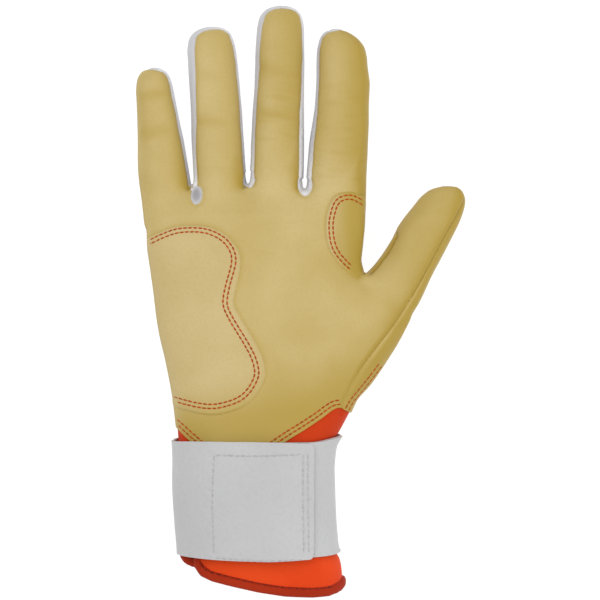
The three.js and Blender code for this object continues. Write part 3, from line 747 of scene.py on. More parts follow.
# %% Fields of the patches
HEEL_ROW = ((145.5, 242), (160, 235), (177, 229), (197, 228), (211, 230.5), (225, 238), (233.5, 249),
            (236, 260), (234, 271), (230, 285), (227, 301), (229, 310), (236, 323), (248, 342.5),
            (256, 358.5), (259, 373), (256.5, 382), (250, 392.5), (241, 400.5), (227, 406), (213, 408.5),
            (200, 407.5), (188, 405), (173.5, 400.5), (169.5, 399))
INDEX_ROW = ((369.5, 206.5), (365, 202.3), (357.5, 197.5), (350.5, 195), (341.5, 196.5), (335, 201.5),
             (331.5, 210.5), (329, 223), (330, 239), (334, 251.5), (343, 263), (352, 271), (360, 277))
HEEL_MARGIN = ((0, 1.1), (0.22, 1.3), (0.36, 2.9), (0.85, 2.9), (1, 2.2))  # share of the row, millimetres
INDEX_MARGIN = 1.6
HEEL_BEYOND = ((120, 392), (120, 254))  # pixels beside the hand that close the outlines
INDEX_BEYOND = ((366, 270), (388, 225), (380, 214))


def patch_outline(row, margin, beyond):
    """A patch's closed outline: the line outside its row, and points beside the hand."""
    return np.vstack((shifted(row, margin), [sight(pixel)[:2] for pixel in beyond]))


heel_row, index_row = seen_line(HEEL_ROW), seen_line(INDEX_ROW)
heel_margin = np.interp(np.linspace(0, 1, len(heel_row)), *np.array(HEEL_MARGIN).T)
heel_outline = patch_outline(heel_row, heel_margin, HEEL_BEYOND)
index_outline = patch_outline(index_row, -INDEX_MARGIN, INDEX_BEYOND)
for node, outline in (("heel_patch", heel_outline), ("index_patch", index_outline)):
    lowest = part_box(node)[0].z / MM
    panels[node] = np.min((within(points, outline), height - lowest, -in_thumb), axis=0)
    print(node, "covers", int((panels[node] > 0).sum()), "vertices")

# %% [markdown]
# ## Shaping the last
# Leather over a hand is never even. Joints leave soft creases across the fingers, fine wrinkles cross them
# where they bend most, the leather swells a little between them, and every seam pulls in a groove. A field
# divided by its steepness on the surface is a true distance from its seam, so one width of groove suits
# all.

# %% Measure on the surface
GENTLEST, STEEPEST = 0.2, 2  # limits for a field's steepness, in millimetres per millimetre
WAVES = 14  # that make up an uneven field

edge_a, edge_b = read_all(skin.edges, "vertices", 2, int).T
edge_lengths = np.linalg.norm(points[edge_a] - points[edge_b], axis=1)


def surface_distance(field):
    """Distance on the last from a field's zero line."""
    steepness = np.abs(field[edge_a] - field[edge_b]) / edge_lengths
    steepest = np.full(len(field), GENTLEST)
    for ends in (edge_a, edge_b):
        np.maximum.at(steepest, ends, np.minimum(steepness, STEEPEST))
    return field / steepest


def bell(distance, width):
    """1 at no distance, falling off smoothly to both sides."""
    return np.exp(-((distance / width) ** 2))


def wander(points, size, seed):
    """A smooth uneven field of about -1 to 1 whose swells are `size` millimetres across."""
    draw = np.random.default_rng(seed)
    waves = draw.normal(size=(WAVES, 3))
    waves *= draw.uniform(0.6, 1.4, (WAVES, 1)) / np.linalg.norm(waves, axis=1)[:, None]
    return np.sin(points @ waves.T * math.pi / size + draw.uniform(0, 2 * math.pi, WAVES)).mean(1) * 2


print("edges of the last:", edge_lengths.mean().round(2), "mm long on average")

# %% Even out the roots
LEVELLING = 0.7  # share of the difference that one pass takes away
ROOT_PASSES, THUMB_PASSES = 120, 300
FACING_UP = 0.35, 0.65  # how straight up a place faces where levelling starts, and where it is full
ROOT_REACH_OUT = 10, 5  # the same in millimetres from the finger roots
THUMB_REACH_OUT = 18, 8  # and from a line just past the thumb's root
THUMB_ROOT, THUMB_FROM = 1, 15  # places of that line along the thumb, and of the thumb across the glove


def even_out(heights, where, passes):
    """Levels heights towards their neighbours' where a weight says so."""
    used = (where[edge_a] > 0) | (where[edge_b] > 0)
    a, b = edge_a[used], edge_b[used]
    count = np.maximum(np.bincount(a, minlength=len(heights)) + np.bincount(b, minlength=len(heights)), 1)
    for _ in range(passes):
        total = np.bincount(a, heights[b], len(heights)) + np.bincount(b, heights[a], len(heights))
        heights = heights + where * LEVELLING * (total / count - heights)
    return heights


facing = smooth_step(normals[:, 2], *FACING_UP)
at_roots = smooth_step(np.abs(past_roots), *ROOT_REACH_OUT) * facing
from_root = np.abs(thumb_part["along"] - THUMB_ROOT)
at_thumb = smooth_step(from_root, *THUMB_REACH_OUT) * facing * (points[:, 0] > THUMB_FROM)
height[:] = even_out(height, at_roots, ROOT_PASSES)
height[:] = even_out(height, at_thumb, THUMB_PASSES)
print("roots evened out by up to", np.abs(height - read_vertices(skin)[0][:, 2]).max().round(2), "mm")

# %% Creases and wrinkles
CREASES = {  # how strong they are, and their places along the finger as shares of its length
    "pinky": (0.7, (0.5, 0.77)),
    "ring": (0.6, (0.41, 0.69)),
    "middle": (1, (0.4, 0.65)),
}
CREASE_DEPTH, CREASE_WIDTH = 0.6, 3
WRINKLES = {"middle": (0.25, 0.62), "index": (0.1, 0.62)}  # where fine wrinkles begin and end
WRINKLE_DEPTH, WRINKLE_SIZE = 0.22, 5
WRINKLE_SQUEEZE = (0.6, 3, 0.6)  # they are short along the finger and long across it
CREASE_SWAY = 1.5  # how far a crease strays from its place

creased = np.zeros(len(points))
for name, (strength, creases) in CREASES.items():
    part = parts[name]
    here = strength * part["palm_side"] * np.clip(0.75 + 0.5 * wander(points, 11, 9), 0.2, 1)
    for crease in creases:
        apart = part["along"] - crease * digit_named[name].length - CREASE_SWAY * wander(points, 13, 3)
        creased = np.maximum(creased, here * bell(apart, CREASE_WIDTH))
wrinkled = np.zeros(len(points))
for name, (start, end) in WRINKLES.items():
    share = parts[name]["along"] / digit_named[name].length
    here = smooth_step(share, start - 0.1, start + 0.05) * smooth_step(share, end + 0.1, end - 0.05)
    wrinkled += here * parts[name]["palm_side"] * wander(points * WRINKLE_SQUEEZE, WRINKLE_SIZE, 12)
print("creased vertices:", int((creased > 0.5).sum()))

# %% Swells and grooves
SWELLS = ((0.35, 22, 1), (0.12, 7, 2))  # height, size and seed of each
SEAM_DEPTH, SEAM_WIDTH = 0.5, 1.1
OFF_BENCH = 1, 8  # heights where the leather starts to swell, and where it swells in full
DIGIT_SEAMS = -1, 4  # millimetres past a root where a digit's seams start, and where they are full
BESIDE_FINGER, BESIDE_HAND, BELOW_LEATHER = 3, 4, 3  # how far outside its part of the glove a groove runs on


def groove(distance):
    """Depth of the groove that a seam pulls in, at a distance from it."""
    return SEAM_DEPTH * bell(distance, SEAM_WIDTH)


off_bench = smooth_step(height, *OFF_BENCH)
lift = off_bench * sum(rise * wander(points, size, seed) for rise, size, seed in SWELLS)
lift += WRINKLE_DEPTH * wrinkled - CREASE_DEPTH * creased
for digit in fingers:
    part = parts[digit.name]
    fade = smooth_step(past_roots, *DIGIT_SEAMS) * (part["outside"] < BESIDE_FINGER)
    for seam in ("front", "back"):
        lift -= fade * groove(surface_distance(part[seam]))
thumb_fade = smooth_step(in_thumb, *DIGIT_SEAMS)
for seam in (thumb_front, thumb_gusset):
    lift -= thumb_fade * groove(surface_distance(seam))
for seam in (points[:, 1] - knuckle_low, points[:, 1] - knuckle_high):
    lift -= (on_palm < 0) * (thumb_side < 0) * groove(seam)
hand_fade = (in_hand > -BESIDE_HAND) * (leather > -BELOW_LEATHER)
for seam, fade in ((thumb_side, 1 - thumb_fade), (on_palm, thumb_side < 0), (in_gusset, 1)):
    lift -= fade * hand_fade * groove(surface_distance(seam))
places = points + normals * lift[:, None]
places[:, 2] = np.maximum(places[:, 2], 0)
move_vertices(skin, places)
normals = read_vertices(skin)[1]
print("shaped by", lift.min().round(2), "to", lift.max().round(2), "mm")

# %% [markdown]
# ## Cutting and sewing
# Cutting a panel takes the faces with some positive field, splits each edge that its line crosses, and
# joins the new points across the faces. Solidify then gives the panel its thickness towards the hand. Where
# two panels meet without a seam, as palm and fingers do, the join must not show: each panel keeps the
# normals of the uncut last.

# %% Cut a panel out of the last
skin_bm = bmesh.new()
skin_bm.from_mesh(skin)
layers = skin_bm.verts.layers
from_layer, to_layer = layers.int.new("from_place"), layers.int.new("to_place")
layers.float.new("share")
normal_layer = layers.float_vector.new("last_normal")
for vert in skin_bm.verts:
    vert[from_layer] = vert[to_layer] = vert.index
    vert[normal_layer] = vert.normal
skin_faces = np.array([[vert.index for vert in face.verts] for face in skin_bm.faces])


def cut_layers(bm):
    """Layers that say between which two vertices of the last a vertex lies, and how it faced there."""
    layers = bm.verts.layers
    ends = layers.int["from_place"], layers.int["to_place"]
    return *ends, layers.float["share"], layers.float_vector["last_normal"]


def cut_out(field):
    """A bmesh of the part of the last where a field is positive."""
    bm = skin_bm.copy()
    bm.faces.ensure_lookup_table()
    unwanted = np.flatnonzero((field[skin_faces] <= 0).all(axis=1))
    bmesh.ops.delete(bm, geom=[bm.faces[index] for index in unwanted], context="FACES")
    from_place, to_place, share, normal = cut_layers(bm)
    value = {vert: field[vert[from_place]] for vert in bm.verts}
    crossed = [edge for edge in bm.edges if value[edge.verts[0]] * value[edge.verts[1]] < 0]
    new = []
    for edge in crossed:
        a, b = edge.verts
        cut = value[a] / (value[a] - value[b])
        ends = a[from_place], b[from_place]
        place = a.co.lerp(b.co, cut)
        facing_there = a[normal].lerp(b[normal], cut).normalized()
        vert = bmesh.utils.edge_split(edge, a, cut)[1]
        vert.co, vert[normal], value[vert] = place, facing_there, 0
        vert[from_place], vert[to_place], vert[share] = *ends, cut
        new.append(vert)
    bmesh.ops.connect_verts(bm, verts=new)
    outside = [face for face in bm.faces if min(value[vert] for vert in face.verts) < 0]
    bmesh.ops.delete(bm, geom=outside, context="FACES")
    return bm


def picker(bm):
    """A function that reads values of the last's vertices at a cut panel's vertices."""
    from_place, to_place, share, _ = cut_layers(bm)
    a, b, cut = np.array([(vert[from_place], vert[to_place], vert[share]) for vert in bm.verts]).T
    a, b = a.astype(int), b.astype(int)
    return lambda values: values[a] * (1 - cut) + values[b] * cut


print("last has", len(skin_faces), "faces")

# %% [markdown]
# ## Finishes
# A finish is a material made of nodes. To write its maths as Python expressions, a small class wraps a
# node's output: adding or multiplying two of them adds a Math node. All patterns are in the object's own
# coordinates, in metres, so a leather grain of 1 mm has a scale of 1000.

# %% Write node maths as expressions
class Wire:
    """A node's output that can be used in Python expressions."""

    def __init__(self, finish, socket):
        self.finish, self.socket = finish, socket

    def math(self, operation, first, second):
        return self.finish.node("ShaderNodeMath", {"operation": operation}, {0: first, 1: second})

    def __add__(self, other):
        return self.math("ADD", self, other)

    def __radd__(self, other):
        return self.math("ADD", other, self)

    def __sub__(self, other):
        return self.math("SUBTRACT", self, other)

    def __rsub__(self, other):
        return self.math("SUBTRACT", other, self)

    def __mul__(self, other):
        return self.math("MULTIPLY", self, other)

    def __rmul__(self, other):
        return self.math("MULTIPLY", other, self)


print("a Wire adds Math nodes for + - and *")

# %% Make materials of nodes
SOCKETS = {"base": "Base Color", "roughness": "Roughness", "shine": "Specular IOR Level",
           "sheen": "Sheen Weight", "sheen_roughness": "Sheen Roughness", "glow": "Emission Strength"}


class Finish:
    """A material with one Principled shader."""

    def __init__(self, name, **settings):
        self.material = bpy.data.materials.new(name)
        self.material.use_nodes = True
        self.tree = self.material.node_tree
        self.shader = next(node for node in self.tree.nodes if node.type == "BSDF_PRINCIPLED")
        for socket, value in settings.items():
            self.shader.inputs[SOCKETS[socket]].default_value = value
        self.places = self.node("ShaderNodeTexCoord", output="Object")

    def node(self, kind, settings=None, inputs=None, output=0):
        """Adds a node, sets it up, feeds its sockets and returns one of its outputs."""
        made = self.tree.nodes.new(kind)
        for name, value in (settings or {}).items():
            setattr(made, name, value)
        for socket, value in (inputs or {}).items():
            self.feed(made.inputs[socket], value)
        return Wire(self, made.outputs[output])

    def feed(self, socket, value):
        if isinstance(value, Wire):
            self.tree.links.new(value.socket, socket)
        else:
            socket.default_value = value

    def noise(self, scale, detail):
        inputs = {"Vector": self.places, "Scale": scale, "Detail": detail}
        return self.node("ShaderNodeTexNoise", inputs=inputs)

    def cells(self, scale):
        inputs = {"Vector": self.places, "Scale": scale}
        return self.node("ShaderNodeTexVoronoi", {"feature": "F1"}, inputs)

    def clouds(self, scale, mid, light):
        """Two tones of a colour in soft clouds."""
        return self.mix(self.ramp(self.noise(scale, 3), 0.3, 0.7), mid, light)

    def seam_tone(self):
        """How deep a panel's tone is at a place; most of it is painted shade."""
        return self.node("ShaderNodeAttribute", {"attribute_name": "seam_tone"}, output="Fac")

    def ramp(self, value, low, high):
        """0 below `low`, 1 above `high`."""
        inputs = {"Value": value, "From Min": low, "From Max": high}
        return self.node("ShaderNodeMapRange", {"interpolation_type": "SMOOTHSTEP"}, inputs)

    def mix(self, factor, first, second):
        """A colour between two colours."""
        inputs = {"Factor": factor, 6: first, 7: second}
        return self.node("ShaderNodeMix", {"data_type": "RGBA"}, inputs, output=2)

    def colour(self, value):
        self.feed(self.shader.inputs["Base Color"], value)

    def roughness(self, value):
        self.feed(self.shader.inputs["Roughness"], value)

    def relief(self, height, depth):
        """Bumps of a depth in metres."""
        bump = self.node("ShaderNodeBump", inputs={"Height": height, "Distance": depth, "Strength": 1.0})
        self.feed(self.shader.inputs["Normal"], bump)


def screen(red, green, blue):
    """A colour as a screen shows it, for a shader's linear light."""
    linear = [((value / 255 + 0.055) / 1.055) ** 2.4 for value in (red, green, blue)]
    return (*linear, 1)


print("middle grey of a screen in linear light:", round(screen(128, 128, 128)[0], 3))

# %% [markdown]
# ### Leather
# Batting-glove leather is thin and soft: a fine pebble grain of about 1 mm, a cloudy colour where the dye
# took unevenly, and a dull shine. Where a seam pulls it in, painted shade makes it darker and richer. A
# vertex attribute on each panel says how deep the tone of a place is, and most of that is painted shade:
# 0 is pale, 1 is deep, and 2 is the painted shadow right in a seam.

# %% Leather finishes
def leather_finish(name, light, mid, deep, shadow):
    finish = Finish(name, shine=0.4)
    even = finish.clouds(28, mid, light)
    pebbles = finish.cells(900)
    pores = finish.noise(2600, 2)
    tone = finish.seam_tone()
    grained = finish.mix(finish.ramp(pebbles, 0.35, 0.8) * 0.1, even, deep)
    # up to a tone of 1 the colour turns to the deep tone, which mostly carries painted shade; from 1 to 2 it turns
    # to the painted shadow in a seam
    finish.colour(finish.mix(finish.ramp(tone, 1, 2), finish.mix(tone, grained, deep), shadow))
    finish.roughness(0.46 + pores * 0.14)
    finish.relief(1 - pebbles + pores * 0.4, 0.03 * MM)
    return finish.material


# the last colour of each leather is the painted shadow in its seams; the one before it is its deep tone, for the
# grain's pits and the painted shade
SHADOW_BROWN = screen(120, 96, 40)
SHADOW_GREY = screen(140, 138, 142)
TAN_SHADES = screen(205, 183, 122), screen(194, 170, 102), screen(176, 147, 52), SHADOW_BROWN
PATCH_SHADES = screen(206, 184, 129), screen(200, 177, 119), screen(178, 150, 56), SHADOW_BROWN
WHITE_SHADES = screen(230, 229, 231), screen(223, 222, 225), screen(160, 158, 162), SHADOW_GREY
TAN = leather_finish("tan leather", *TAN_SHADES)
PATCH_TAN = leather_finish("patch leather", *PATCH_SHADES)
WHITE = leather_finish("white leather", *WHITE_SHADES)
print("leather finishes:", TAN.name, PATCH_TAN.name, WHITE.name)

# %% [markdown]
# ### Cloth, strap and thread
# The cuff is a tight knit: fine ribs along the wrist, crossed by rows of loops. The strap is a coated
# synthetic with a soft pebble. Hook and loop strips are fuzzy, the lining is a plain light tricot, and
# thread is twisted.

# %% Cloth finishes
KNIT_PITCH, LINING_PITCH = 0.6, 0.9  # millimetres from rib to rib


def knit_finish(name, light, mid, deep, pitch=KNIT_PITCH):
    finish = Finish(name, roughness=0.8, shine=0.12, sheen=0.04, sheen_roughness=0.5)
    wave = {"Vector": finish.places, "Scale": 0.314 / (pitch * MM), "Distortion": 0.6, "Detail": 1.0}
    ribs = finish.node("ShaderNodeTexWave", {"bands_direction": "X"}, wave, output="Fac")
    rows = finish.node("ShaderNodeTexWave", {"bands_direction": "Y"}, wave, output="Fac")
    loops = ribs * 0.65 + rows * 0.35
    even = finish.clouds(35, mid, light)
    shaded = finish.mix(finish.ramp(loops, 0.75, 0.15) * 0.12, even, deep)
    # the tone mixes in painted shade, as on the cuff beside the leather
    finish.colour(finish.mix(finish.seam_tone(), shaded, deep))
    finish.relief(loops, 0.05 * MM)
    return finish.material


def strap_finish(name, light, mid, deep):
    finish = Finish(name, roughness=0.55, shine=0.35)
    pebbles = finish.cells(700)
    creases = finish.noise(180, 4)
    even = finish.clouds(22, mid, light)
    finish.colour(finish.mix(finish.ramp(pebbles, 0.4, 0.9) * 0.14, even, deep))
    finish.roughness(0.48 + creases * 0.15)
    finish.relief(creases * 0.8 - pebbles, 0.06 * MM)
    return finish.material


def fuzzy_finish(name, light, deep):
    finish = Finish(name, roughness=0.95, shine=0.1, sheen=0.4)
    fuzz = finish.noise(1500, 4) * 0.6 + finish.cells(1100) * 0.4
    finish.colour(finish.mix(finish.ramp(fuzz, 0.3, 0.65), deep, light))
    finish.relief(fuzz, 0.4 * MM)
    return finish.material


def thread_finish(name, light, deep):
    finish = Finish(name, roughness=0.7, shine=0.2)
    twist = finish.noise(2200, 1)
    finish.colour(finish.mix(finish.ramp(twist, 0.35, 0.65), deep, light))
    finish.relief(twist, 0.05 * MM)
    return finish.material


ORANGE = knit_finish("orange cuff", screen(238, 78, 28), screen(228, 70, 22), screen(180, 50, 14))
HEM = knit_finish("orange hem", screen(178, 50, 18), screen(164, 44, 15), screen(110, 30, 12))
STRAP = strap_finish("strap", screen(196, 196, 196), screen(191, 191, 192), screen(170, 170, 172))
LOOPS = fuzzy_finish("loop pile", screen(205, 205, 205), screen(150, 150, 152))
LINING_SHADES = screen(225, 222, 216), screen(214, 211, 205), screen(170, 166, 158)
LINING = knit_finish("lining", *LINING_SHADES, pitch=LINING_PITCH)
STRETCH = knit_finish("stretch back", screen(214, 213, 213), screen(205, 204, 205), screen(160, 159, 162))
THREAD = thread_finish("orange thread", screen(204, 90, 24), screen(146, 54, 10))
HEM_THREAD = thread_finish("hem thread", screen(150, 42, 22), screen(96, 26, 14))
STRAP_THREAD = thread_finish("strap thread", screen(198, 198, 200), screen(172, 172, 176))
print(len(bpy.data.materials), "finishes")

# %% [markdown]
# ## Sewing the panels
# `sew` turns a cut panel into a finished piece: it may push the panel out as a layer over the others, gives
# it its thickness and lining, and lets it ride on a CAD body. A digit's panels bend with their hinge: they
# follow the hand at the root and the digit past the bend.

# %% Give a panel its thickness
OUTSIDE, LINED, EDGE = 0, 1, 2  # material numbers of a panel


def thicken(obj, thickness):
    """Gives a panel its lining and its edge. The normals of the last keep its faces smooth."""
    solid = obj.modifiers.new("thickness", "SOLIDIFY")
    solid.thickness = thickness * MM
    solid.offset = -1
    solid.material_offset = LINED
    solid.material_offset_rim = EDGE
    bpy.context.view_layer.update()
    mesh = bpy.data.meshes.new_from_object(obj.evaluated_get(bpy.context.evaluated_depsgraph_get()))
    obj.modifiers.clear()
    obj.data = mesh
    corners = read_all(mesh.loops, "vertex_index", 1, int)[:, 0]
    smooth = read_all(mesh.attributes["last_normal"].data, "vector", 3, np.float32)[corners]
    totals = read_all(mesh.polygons, "loop_total", 1, int)[:, 0]
    flat = np.repeat(read_all(mesh.polygon_normals, "vector", 3, np.float32), totals, axis=0)
    side = np.repeat(read_all(mesh.polygons, "material_index", 1, int), totals, axis=0)
    loop_normals = np.where(side == OUTSIDE, smooth, -smooth)
    mesh.normals_split_custom_set(np.where(side == EDGE, flat, loop_normals))


print("materials of a panel:", OUTSIDE, "outside,", LINED, "lining,", EDGE, "edge")

# %% Sew a panel
BEND_LENGTH = 17  # of leather that bends at a digit's root
LEATHER_THICK = 1.2
EDGE_SHADOW = 0.4  # millimetres over which the shadow in a seam fades
body_of = {node: body for body, members in frame["record"]["behaviour"]["bodies"].items() for node in members}
NO_TONE = np.zeros(len(points))
sewn = {}


def at_height(rise):
    """A layer of one height all over."""
    return lambda inward, pick: np.full(len(inward), rise)


def sew(node, finish, thickness=LEATHER_THICK, layer=None, tone=NO_TONE, edge=NO_TONE, lining=LINING):
    """Cuts out the panel that stands for a CAD node and finishes it."""
    bm = cut_out(panels[node])
    seam_tone = bm.verts.layers.float.new("seam_tone")
    normal = cut_layers(bm)[-1]
    pick = picker(bm)
    inward = pick(panels[node])
    if layer is not None:
        for vert, rise in zip(bm.verts, layer(inward, pick)):
            vert.co += vert[normal] * rise * MM
        bm.normal_update()
        for vert in bm.verts:
            vert[normal] = vert.normal
    in_seam = 2 * pick(edge) * np.exp(-inward / EDGE_SHADOW)
    for vert, shade in zip(bm.verts, np.maximum(pick(tone), in_seam)):
        vert[seam_tone] = shade
    obj = add_object(f"{node}_sewn", mesh_from(bm, f"{node}_sewn"))
    for material in (finish, lining, finish):
        obj.data.materials.append(material)
    thicken(obj, thickness)
    body = body_of[node]
    if body in digit_named:
        digit = digit_named[body]
        end = digit.hinge + BEND_LENGTH * digit.ahead
        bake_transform(obj, "hand", body, start=digit.hinge * MM, end=end * MM)
    else:
        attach(obj, body)
    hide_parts(node)
    sewn[node] = obj


print("leather bends over", BEND_LENGTH, "mm at the root of a digit")

# %% [markdown]
# ### Tones of the leather
# Tan leather gets a painted highlight where it faces the key light, and painted shade where it turns away
# from it, in creases and wrinkles, and towards the wrist. Each digit is also deeper in tone by its own
# amount. All of this goes into one tone for each vertex of the last.

# %% Tones of the leather
KEY_LIGHT_SIDE = (-0.45, 0.3, 1)  # painted highlight where raised places face this way, towards the key light; sides and hollows keep painted shade
PALE_FROM, PALE_TO = 0.45, 0.95  # how straight a place faces that way where its painted shade starts to lift, and where it is gone
TURNED_AWAY_SHADE = 0.95  # painted shade of the places that don't
WRIST_SIDE = (0.3, -1, 0)  # painted shade: the palm grows deeper this way, towards the wrist and the thumb side, away from the key light
WRIST_FROM, WRIST_TO, WRIST_SHADE = 22, 46, 0.85  # millimetres, and the painted shade there
# painted shade in the creases and in the troughs of the wrinkles
CREASE_SHADE, WRINKLE_SHADE = 0.65, 0.25
DIGIT_DEEPENING = {"pinky": 0.08, "ring": 0.1, "middle": 0.18, "index": 0.2, "thumb": 0.35}  # how much deeper each digit's tone is
ROOT_FADE = 20  # length over which a digit's own tone sets in
SIDE_FROM, SIDE_TO = -5, 10  # millimetres from a finger's middle line where painted shade sets in on its thumb side
FINGER_SIDE_SHADE = {  # share of the painted shade taken off a finger's sides, and how deep the painted shade on its thumb side is
    "pinky": (0.6, 0),
    "ring": (0.7, 0.35),
    "middle": (0.5, 0.5),
    "index": (0, 0.85),
}

facing_key_light = normals @ (np.array(KEY_LIGHT_SIDE) / np.linalg.norm(KEY_LIGHT_SIDE))
deep = TURNED_AWAY_SHADE * (1 - smooth_step(facing_key_light + 0.05 * wander(points, 14, 4), PALE_FROM, PALE_TO))
for name, (shade_taken_off, thumb_side_shade) in FINGER_SIDE_SHADE.items():
    part = parts[name]
    here = smooth_step(part["along"], 0, ROOT_FADE) * smooth_step(part["outside"], NEAR, NEAR / 2)
    from_middle = part["across"] - sum(digit_named[name].sides(part["along"])) / 2
    deep *= 1 - shade_taken_off * here
    deep = np.maximum(deep, thumb_side_shade * here * smooth_step(from_middle, SIDE_FROM, SIDE_TO))
to_wrist = points @ WRIST_SIDE + 3 * wander(points, 20, 6)
deep = np.maximum(deep, WRIST_SHADE * smooth_step(to_wrist, WRIST_FROM, WRIST_TO))
deep = np.maximum(deep, CREASE_SHADE * creased)
deep += WRINKLE_SHADE * np.clip(-wrinkled, 0, 1) * (1 - deep)
for name, extra_deep in DIGIT_DEEPENING.items():
    share = extra_deep * smooth_step(parts[name]["along"], 0, ROOT_FADE) * (parts[name]["outside"] < NEAR)
    deep += share * (1 - deep)
print("mean tone of the last:", deep.mean().round(2))

# %% Sew the leather
SHADED_GUSSET = "crotch_gusset_pinky_ring"  # painted shade, as it lies deeper between its fingers than the others
GUSSET_TONE = 0.1
SHADED_TONE, SHADED_DEEP = 0.35, 0.6  # its painted shade at its edge, and how much more it has in its middle
SHADED_REACH = 1.6  # millimetres from its edge where that is reached
TONE_REACH = 1.6  # millimetres from a seam over which its painted shade fades
STRIP_TONE = 0.4  # grey tone of the strips' sides that face the pinky; painted light takes it off the sides that face the thumb
FRONT_TONE = 0.35  # painted shade of the tan leather at the seams to the strips
BACK_TONE = 0.35
GUSSET_THICK, GUSSET_SINK = 0.9, 0.4
THUMB_SHADOW = 0.8  # in the thumb's seams, but not where its leather joins the palm's
PATCH_TONE, PATCH_SHADOW = 0.6, 0.9  # painted shadow on the palm beside a patch's raised edge, and the millimetres over which it fades
RIB_PITCH, RIB_DEPTH, RIB_GROOVE = 5.5, 0.8, 0.9  # of the knuckle panel, which stretches when the hand closes


def toned(field):
    """How near a seam a place on the last is, from 0 to 1; it sets the painted shade beside the seam."""
    return np.exp(-np.abs(surface_distance(field)) / TONE_REACH)


gusset_tones = {SHADED_GUSSET: SHADED_TONE + SHADED_DEEP * smooth_step(in_gusset, 0, SHADED_REACH)}
strip_tone = STRIP_TONE * smooth_step(normals[:, 0], 0.5, -0.5)
thumb_seams = THUMB_SHADOW * smooth_step(points[:, 0], 18, 26) * smooth_step(np.abs(in_thumb), 1, 2.5)
for node in panels:
    body = body_of[node]
    if body == "thumb":
        sew(node, TAN, tone=deep, edge=thumb_seams)
    elif node.endswith("_front") and body in digit_named:
        # painted shade beside the finger's front seam, where the leather turns down to the strip
        near_seam = FRONT_TONE * toned(parts[body]["front"]) * smooth_step(parts[body]["along"], -1, 8)
        sew(node, TAN, tone=np.maximum(deep, near_seam))
    elif node.startswith("crotch"):
        tone = gusset_tones.get(node, NO_TONE + GUSSET_TONE)
        sew(node, WHITE, GUSSET_THICK, layer=at_height(-GUSSET_SINK), tone=tone)
    elif node.endswith("_back") and body in digit_named:
        sew(node, WHITE, tone=NO_TONE + BACK_TONE)
    elif body in digit_named:
        # painted light takes the strips' grey tone off towards the finger roots, where they lie in the crotches
        sew(node, WHITE, tone=strip_tone * smooth_step(parts[body]["along"], 3, 26))
in_patch = np.maximum(panels["heel_patch"], panels["index_patch"])
patch_edge_shadow = np.exp(np.minimum(in_patch, 0) / PATCH_SHADOW)
# painted shade beside the tongue's edge, and painted shadow beside the patches
palm_tone = np.max((deep, toned(over_tongue), PATCH_TONE * patch_edge_shadow), axis=0)
sew("palm_panel", TAN, tone=palm_tone, edge=thumb_seams)
sew("thumb_side_panel", TAN, tone=deep, edge=thumb_seams)
for node in ("knuckle_yoke", "back_panel"):
    sew(node, WHITE, tone=NO_TONE + BACK_TONE)
from_groove = RIB_PITCH / 2 - np.abs((points[:, 1] - knuckle_low) % RIB_PITCH - RIB_PITCH / 2)
ribs = -RIB_DEPTH * bell(from_groove, RIB_GROOVE)
sew("knuckle_panel", STRETCH, layer=lambda inward, pick: pick(ribs))
print("sewn:", len(sewn))

# %% [markdown]
# ### Patches and layers
# A layer's height over the last falls off in a quarter circle towards its cut edge, as pressed leather
# does.

# %% Sew the patches
PATCH_RISE, PATCH_ROUND = 0.75, 1.3
PATCH_THICK = 0.7
SIDE_SHARE = 0.25  # of its rise that a patch keeps where it runs down the hand's side
SIDE_FACING = 0.15, 0.7  # how straight up a place faces on the side, and on the palm
INDEX_SHADE_SPAN = 9, 23  # where painted shade sets in on the index patch, towards the thumb
ROW_GAP = 1.75  # between the two rows of stitches
ROW_DIP = 0.16  # how far a double row pulls the leather in


def rounded_edge(inward, rise, reach):
    """Height of a layer whose edge is a quarter circle."""
    share = np.clip(inward / reach, 0, 1)
    return rise * np.sqrt(1 - (1 - share) ** 2)


def patch_layer(middle_of_rows):
    """The height of a patch that its double row of stitches pulls in."""
    away = from_polyline(points, middle_of_rows)[0]
    dip = ROW_DIP * bell(away, ROW_GAP)
    rise = PATCH_RISE * (SIDE_SHARE + (1 - SIDE_SHARE) * smooth_step(normals[:, 2], *SIDE_FACING))
    return lambda inward, pick: rounded_edge(inward, pick(rise), PATCH_ROUND) - pick(dip)


heel_layer = patch_layer(shifted(heel_row, -ROW_GAP / 2))
index_layer = patch_layer(shifted(index_row, ROW_GAP / 2))
index_patch_shade = TURNED_AWAY_SHADE * smooth_step(points[:, 0], *INDEX_SHADE_SPAN)
for node, layer, extra_deep in (("heel_patch", heel_layer, NO_TONE), ("index_patch", index_layer, index_patch_shade)):
    sew(node, PATCH_TAN, PATCH_THICK, layer=layer, tone=np.maximum(deep, extra_deep))
print("sewn:", len(sewn))

# %% Sew the cuff
CUFF_THICK, HEM_THICK = 2, 2.4
CUFF_DROP = 0.8  # the cuff lies this far under the leather's face
HEM_ROLL = 1.7
LAP_DROP = CUFF_THICK + 0.6  # of the back half where it lies under the front
LAP_FROM, LAP_TO = SLIT - 4, SLIT - 0.6  # where it goes under
CUFF_DEEP, CUFF_SHADE = 0.6, (-80, -60)  # painted shade of the cuff beside the leather, and where it sets in


def cuff_layer(lapped):
    return lambda inward, pick: -CUFF_DROP - pick(lapped)


def hem_layer(lapped):
    """The hem is turned over into a roll."""
    return lambda inward, pick: rounded_edge(inward, HEM_ROLL, HEM_WIDTH / 2) - CUFF_DROP - pick(lapped)


